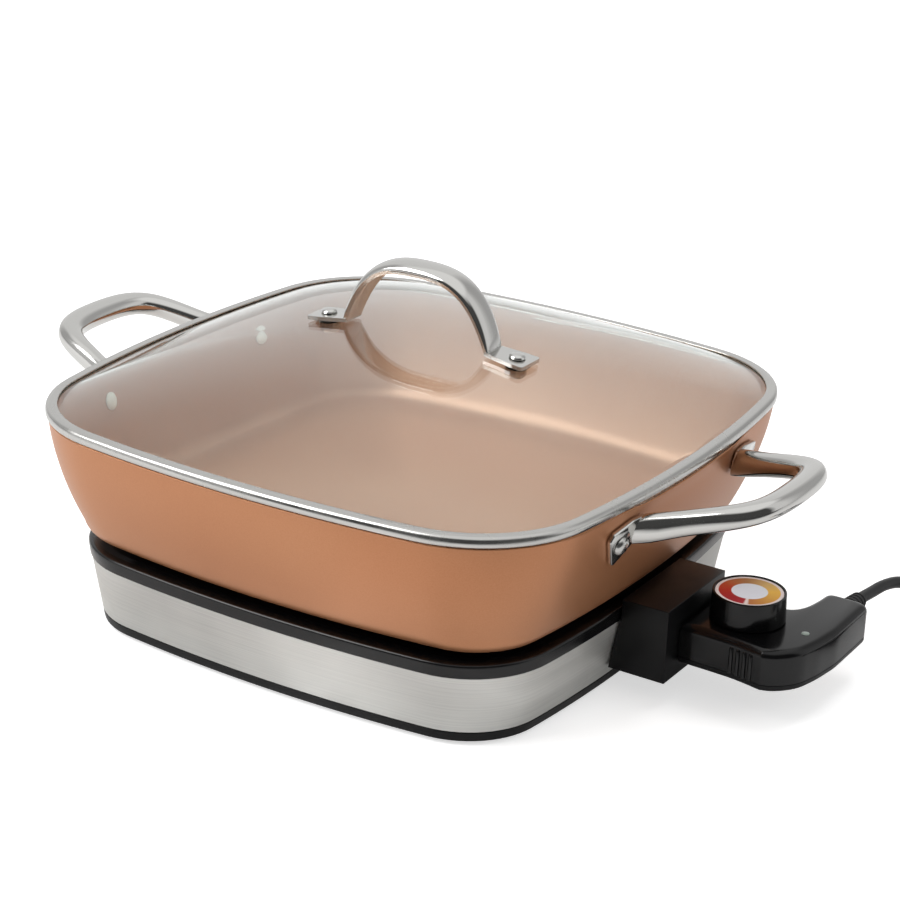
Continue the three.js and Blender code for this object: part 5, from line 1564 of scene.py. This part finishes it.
    def handle(self) -> None:
        """Handle: a strap with a rounded back and a hollow underside, its ends flat pads."""
        point, normal, _ = self.seat(1)
        bend_x, top = self.span - self.strap_inset, self.edge_high + self.rise + self.strap_top
        bend_z = point.z + self.pad_low + 1 + self.strap_inset * normal.x / normal.z
        knots = [Vector((bend_x, bend_z)), Vector((bend_x - 11, mix(bend_z, top, 0.95))),
                 Vector((bend_x * 0.4, top)), Vector((0, top))]
        spots = [Vector((p.x, 0, p.y)) for p in there_and_back(knots, 26, (-1, 1))]
        frames = framed(spots, [spot - Vector((0, 0, bend_z)) for spot in spots])
        sections = []
        for i, (spot, out, across) in enumerate(frames):
            share = math.sqrt(max(math.sin(math.pi * i / (len(frames) - 1)), 0.0))
            crown, hollow = mix(2, 5.3, share), 3.8 * share
            half = self.strap_half * mix(0.77, 1, share)
            back = [(math.cos(turn), 1 + (crown - 1) * math.sin(turn))
                    for turn in (math.pi * k / 14 for k in range(15))]
            under = [(-math.cos(turn) * 0.9, hollow * math.sin(turn) - 1)
                     for turn in (math.pi * k / 10 for k in range(11))]
            sections.append([spot + across * a * half + out * u for a, u in back + under])
        blank = Blank.skinned(sections)
        for side in (-1, 1):
            point, normal, outward = self.seat(side)
            pad = Blank.slab(filleted(self.pad_outline), self.pad_low,
                             self.pad_low + self.strap_thick)
            blank = blank.combine(pad.lay(point, (outward, normal.cross(outward), normal)), "UNION")
        blank.piece("lid_strap_handle", Body.LID, [self.palette.polished], "polished_steel",
                    ["lid_handle"], 38)

    def fixings(self) -> None:
        """Screw, washer and cap nut at each end of the handle."""
        parts = (("screw", self.screw_profile, self.palette.polished, "polished_steel"),
                 ("washer", filleted(self.washer_profile, False), self.palette.rubber,
                  "rubber_black"),
                 ("nut", self.nut_profile, self.palette.polished, "plain_steel"))
        for side, name in ((-1, "left"), (1, "right")):
            point, normal, _ = self.seat(side)
            for kind, profile, finish, slot in parts:
                Blank.turned(profile).aim(point, normal).piece(
                    f"lid_{kind}_fine_{name}", Body.LID, [finish], slot, [f"lid_{kind}_{name}"])


@dataclass
class HeatControl:
    """The plug-in control: two case halves, a nose with its probe, a lens and a strain relief.

    Attributes:
        palette: The finishes.
        split: Height at which the case's halves meet.
        split_gap: Gap between them.
        plan: The case's plan as x, y and the rounding of each corner.
        ridges: Places of the finger ridges in front.
        relief_seat: Where the strain relief leaves the case.
        relief_radii: Its radius at its foot and at its tip.
        relief_bore: Radius of the hole that holds the cord.
    """

    palette: Palette
    low: float = 19
    split: float = 22
    split_gap: float = 0.3
    high: float = 39.8
    foot_fillet: float = 1.6
    top_fillet: float = 4
    plan: tuple[Corner2, ...] = (
        (162.87, -17.8, 0.6), (183, -18.3, 60), (192, -18.8, 60), (198.5, -19.8, 60),
        (208.2, -21.8, 1.4), (213.3, -20.1, 60), (218.6, -15.6, 60), (223.4, -8.7, 60),
        (226.4, 4, 60), (228.4, 20, 60), (228, 59, 4.6), (205.6, 59, 3.4), (204.6, 47, 60),
        (202.9, 37.5, 60), (199.6, 31.4, 60), (193.5, 29, 60), (162.87, 29, 0.6))
    ridges: tuple[Point2, ...] = ((191.3, -18.7), (195, -19.2), (198.7, -19.8), (202.2, -20.5))
    ridge_radius: float = 1.1
    ridge_high: float = 35
    lens_place: Point2 = (216.82, 8)
    lens_profile: tuple[Point2, ...] = (
        (0, 38), (2.0, 38), (2.0, 39.9), (1.7, 40.15), (1.0, 40.3), (0, 40.35))
    relief_seat: Point3 = (216.01, 59, 32)
    relief_length: float = 15
    relief_radii: Point2 = (5.7, 4.4)
    relief_bore: float = 3.1
    relief_neck: float = 4.3
    relief_root: float = -2.5
    relief_ribs: int = 5
    relief_groove: float = 0.8

    def build(self) -> None:
        """Builds the control."""
        self.upper()
        self.lower()
        self.nose()
        self.lens()
        self.relief()

    def outline(self, inset: float) -> list[Point2]:
        """Gives the case's plan with its corners eased.

        Args:
            inset: How far it is moved inwards.

        Returns:
            The outline's points, as many for any inset.
        """
        moved: list[Corner2] = []
        for i, (x, y, radius) in enumerate(self.plan):
            here = Vector((x, y))
            a = (here - Vector(self.plan[i - 1][:2])).normalized()
            b = (Vector(self.plan[(i + 1) % len(self.plan)][:2]) - here).normalized()
            left = Vector((-a.y - b.y, a.x + b.x)).normalized()
            spot = here + left * (inset / left.dot(Vector((-a.y, a.x))))
            moved.append((spot.x, spot.y, radius))
        return filleted(moved)

    def rounded(self, low: float, high: float, foot: float, fillet: float) -> Blank:
        """Raises the plan into a block whose lower and upper edges are rounded.

        Args:
            low: Height of its underside.
            high: Height of its top.
            foot: Radius of its lower edge.
            fillet: Radius of its upper edge.

        Returns:
            The block.
        """
        levels: list[Point2] = []
        for radius, middle, sign in ((foot, low + foot, -1), (fillet, high - fillet, 1)):
            turns = [k / 6 * math.pi / 2 for k in range(7)] if radius > 0 else [0.0]
            rounding = [(radius * (1 - math.cos(turn)), middle + sign * radius * math.sin(turn))
                        for turn in turns]
            levels += rounding[::sign]
        return Blank.skinned([(x, y, height) for x, y in self.outline(inset)]
                             for inset, height in levels)

    def upper(self) -> None:
        """Upper case: a moulding with a rounded top edge and finger ridges in front."""
        low, radius, high = self.split + self.split_gap, self.ridge_radius, self.ridge_high
        shell = self.rounded(low, self.high, 0, self.top_fillet)
        profile = [(0, low), (radius, low), (radius, high), (radius - 0.3, high + 0.7),
                   (0, high + 1.1)]
        for x, y in self.ridges:
            shell = shell.combine(Blank.turned(profile, 16).shift(x, y), "UNION")
        shell.piece("control_case_upper", Body.CONTROL, [self.palette.gloss], "body_black",
                    ["control_case"], 40)

    def lower(self) -> None:
        """Lower case: a shallow plate with a rounded under edge."""
        self.rounded(self.low, self.split, self.foot_fillet, 0).piece(
            "control_case_lower", Body.CONTROL, [self.palette.satin], "body_black",
            ["control_cover"], 40)

    def nose(self) -> None:
        """Gives the solids that enter the socket their finishes."""
        dress(self.palette.satin, "control_nose")
        dress(self.palette.brass, "contact_front", "contact_rear", "switch_blade")
        dress(self.palette.plain_steel, "probe_rod", "spindle_bracket", "case_screw_1",
              "case_screw_2")

    def lens(self) -> None:
        """Pilot lens: a pale bead in the case's top."""
        Blank.turned(self.lens_profile, 24).shift(*self.lens_place).piece(
            "control_pilot_lens", Body.CONTROL, [self.palette.lens], "lens", ["pilot_lens"])

    def relief(self) -> None:
        """Strain relief: a ribbed taper on the cord where it leaves the case."""
        bore, root, neck, length = (self.relief_bore, self.relief_root, self.relief_neck,
                                    self.relief_length)
        last = self.relief_ribs - 1
        pitch = length / (last + 0.5)
        profile: list[Corner2] = [(bore, root, 0), (neck, root, 0), (neck, 0.3, 0)]
        for i in range(self.relief_ribs):
            radius = mix(*self.relief_radii, i / last)
            start = 0.3 + pitch * i
            end = start + pitch / 2 if i < last else length
            profile += [(radius, start, 0.4), (radius - 0.1, end, 0.5)]
            if i < last:
                deep = radius - self.relief_groove
                profile += [(deep, end, 0.2), (deep, start + pitch, 0.2)]
        profile += [(bore, length, 0), (bore, root, 0)]
        Blank.turned(filleted(profile, False, 3)).aim(Vector(self.relief_seat), ALONG_Y).piece(
            "control_strain_relief", Body.CONTROL, [self.palette.rubber], "rubber_black",
            ["strain_relief"])


@dataclass
class Dial:
    """The dial: a knob with a printed face sunk in its top.

    Attributes:
        palette: The finishes.
        place: The dial's axis on the worktop.
        shaft: Radius of the hole for the spindle.
        ceiling: Height at which that hole ends.
        sunk: Height of the recess's floor.
        face: Heights of the printed disc's underside and face.
    """

    palette: Palette
    place: Point2 = (186.37, 7.6)
    low: float = 40.3
    high: float = 54.3
    radius: float = 18.5
    top_radius: float = 17.9
    face_radius: float = 16.6
    shaft: float = 3.3
    ceiling: float = 50.4
    sunk: float = 52.4
    face: Point2 = (52.7, 53.7)
    steps: int = 64

    def build(self) -> None:
        """Builds the dial."""
        recess = self.face_radius + 0.3
        knob = filleted([(0, self.ceiling, 0), (self.shaft, self.ceiling, 0),
                         (self.shaft, self.low, 0), (self.radius, self.low, 0.5),
                         (self.top_radius, self.high, 0.8), (recess, self.high, 0.2),
                         (recess, self.sunk, 0), (0, self.sunk, 0)], False)
        Blank.turned(knob, self.steps).shift(*self.place).piece(
            "dial_knob_fine", Body.DIAL, [self.palette.gloss], "body_black", ["dial_knob"])
        low, high = self.face
        disc = filleted([(0, low, 0), (self.face_radius, low, 0), (self.face_radius, high, 0.2),
                         (0, high, 0)], False)
        middle = MIDDLE + Vector((*self.place, (low + high) / 2)) * MM
        Blank.turned(disc, self.steps).shift(*self.place).piece(
            "dial_printed_face", Body.DIAL, [DialPrint("printed_heat_scale", middle).make()],
            "dial_print", ["dial_face"])
        dress(self.palette.polished, "dial_spindle")


@dataclass
class Cord:
    """The cord: out of the control, down to the worktop and into a coil that ends in a plug.

    Attributes:
        palette: The finishes.
        exit: Where the cord leaves its strain relief.
        route: Places that it passes on its way to the coil.
        coil_inner: Radius of the coil's innermost turn.
        coil_turns: Turns in both layers.
        coil_pitch: Distance between turns and between layers.
        tail: Lengths of the straight cord behind the coil.
        plug_forms: Share of the plug's length, width, height and roundness along it.
        tie_x: Place of the tie beside the coil's middle.
    """

    palette: Palette
    radius: float = 3.0
    exit: Vector = field(default_factory=lambda: Vector((216.01, 74, 32)))
    route: tuple[Point3, ...] = (
        (217.2, 87, 31.7), (219.6, 99, 32), (223.4, 110, 30.4), (230.5, 121, 25.4),
        (242, 131.5, 17.7), (258, 140, 9.5), (277, 145.8, 4.3))
    coil_x: float = 308
    coil_y: float = 105
    coil_inner: float = 32
    coil_turns: float = 3.25
    coil_pitch: float = 6.7
    coil_steps: int = 156
    lead_in: Point2 = (-14.3, -8.3)
    tail: tuple[float, float, float] = (8, 30, 45)
    plug_length: float = 34
    plug_half: float = 9
    plug_back: float = 38
    plug_forms: tuple[Place, ...] = (
        (0, 0.5, 0.42, 1), (0.03, 0.56, 0.46, 1), (0.16, 0.6, 0.5, 1), (0.24, 0.68, 0.62, 0.9),
        (0.34, 0.86, 0.85, 0.7), (0.44, 0.95, 0.97, 0.6), (0.6, 0.98, 1, 0.5), (0.9, 1, 1, 0.5),
        (0.97, 0.98, 0.98, 0.5), (1, 0.92, 0.92, 0.5))
    tie_x: float = -36.2
    tie_half: float = 5
    tie_outer: tuple[Corner2, ...] = (
        (-7.3, 0.0, 1.5), (7.3, 0.0, 1.5), (7.3, 13.6, 3), (-7.3, 13.6, 3))
    tie_inner: tuple[Corner2, ...] = (
        (-6.6, 0.1, 1.2), (6.6, 0.1, 1.2), (6.6, 13, 2.6), (-6.6, 13, 2.6))

    def coil(self) -> list[Vector]:
        """Gives the coil: inwards on the worktop, up, and outwards on the next layer."""
        low, middle, steps = self.radius + 0.1, self.coil_turns / 2, self.coil_steps
        loops = []
        for i in range(steps + 1):
            turn = self.coil_turns * i / steps
            radius = self.coil_inner + self.coil_pitch * abs(turn - middle)
            climb = min(max((turn - middle) * 2 + 0.5, 0), 1)
            angle = math.pi / 2 - FULL_TURN * turn
            loops.append(Vector((self.coil_x + radius * math.cos(angle),
                                 self.coil_y + radius * math.sin(angle),
                                 low + self.coil_pitch * climb)))
        return loops

    def way(self) -> list[Vector]:
        """Gives the whole middle line of the cord."""
        loops = self.coil()
        knots = [self.exit + Vector((0, 3, 0)), *map(Vector, self.route),
                 *(loops[0] + Vector((x, 0, 0)) for x in self.lead_in)]
        return [self.exit, *flowing(knots, 6), *loops,
                *(loops[-1] - Vector((0, y, 0)) for y in self.tail)]

    def build(self) -> None:
        """Builds the cord with its plug and its tie."""
        points = [MIDDLE + p * MM for p in self.way()]
        data = bpy.data.curves.new("control_cord", "CURVE")
        data.dimensions, data.bevel_depth, data.bevel_resolution = "3D", self.radius * MM, 3
        data.use_fill_caps = True
        spline = data.splines.new("POLY")
        spline.points.add(len(points) - 1)
        for dot, point in zip(spline.points, points):
            dot.co = (*point, 1)
        spline.use_smooth = True
        data.materials.append(self.palette.vinyl)
        cord = bpy.data.objects.new("control_cord", data)
        bpy.context.scene.collection.objects.link(cord)
        settle(cord, Body.CONTROL, ["cord", "cord_coil"])
        self.plug()
        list(self.blades())
        self.tie()

    def plug(self) -> bpy.types.Object:
        """Plug: a ribbed neck that swells to a flat body."""
        end = self.coil()[-1]
        thick = end.z - 0.1
        blank = Blank.skinned(
            [(x * wide * self.plug_half, y * tall * thick, share * self.plug_length)
             for x, y in squared_circle(32, roundness)]
            for share, wide, tall, roundness in self.plug_forms)
        blank.aim(end - Vector((0, self.plug_back, 0)), -ALONG_Y)
        return blank.piece("cord_plug", Body.CONTROL, [self.palette.rubber], "rubber_black",
                           ["plug_body"], 45)

    def blades(self) -> list[bpy.types.Object]:
        """Gives the plug's blades their finish."""
        names = ("plug_blade_lower", "plug_blade_upper")
        dress(self.palette.brass, *names)
        return [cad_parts[name] for name in names]

    def tie(self) -> bpy.types.Object:
        """Tie: a flat strap round the coil's turns."""
        blank, half = Blank(), self.tie_half
        rings = [blank.chain([(x, y, z) for x, z in filleted(outline)], closed=True)
                 for y, outline in ((-half, self.tie_outer), (-half, self.tie_inner),
                                    (half, self.tie_inner), (half, self.tie_outer))]
        blank.bridge([*rings, rings[0]])
        blank.shift(self.coil_x + self.tie_x, self.coil_y)
        return blank.piece("cord_tie", Body.CONTROL, [self.palette.rubber], "rubber_black")


def main() -> None:
    """Builds the studio and the skillet."""
    bpy.context.scene.view_settings.view_transform = "Standard"
    Studio().build()
    palette = Palette()
    for part in (Cord, HeatedBase, Pan, Lid, HeatControl, Dial):
        part(palette).build()


if __name__ == "__main__":
    main()
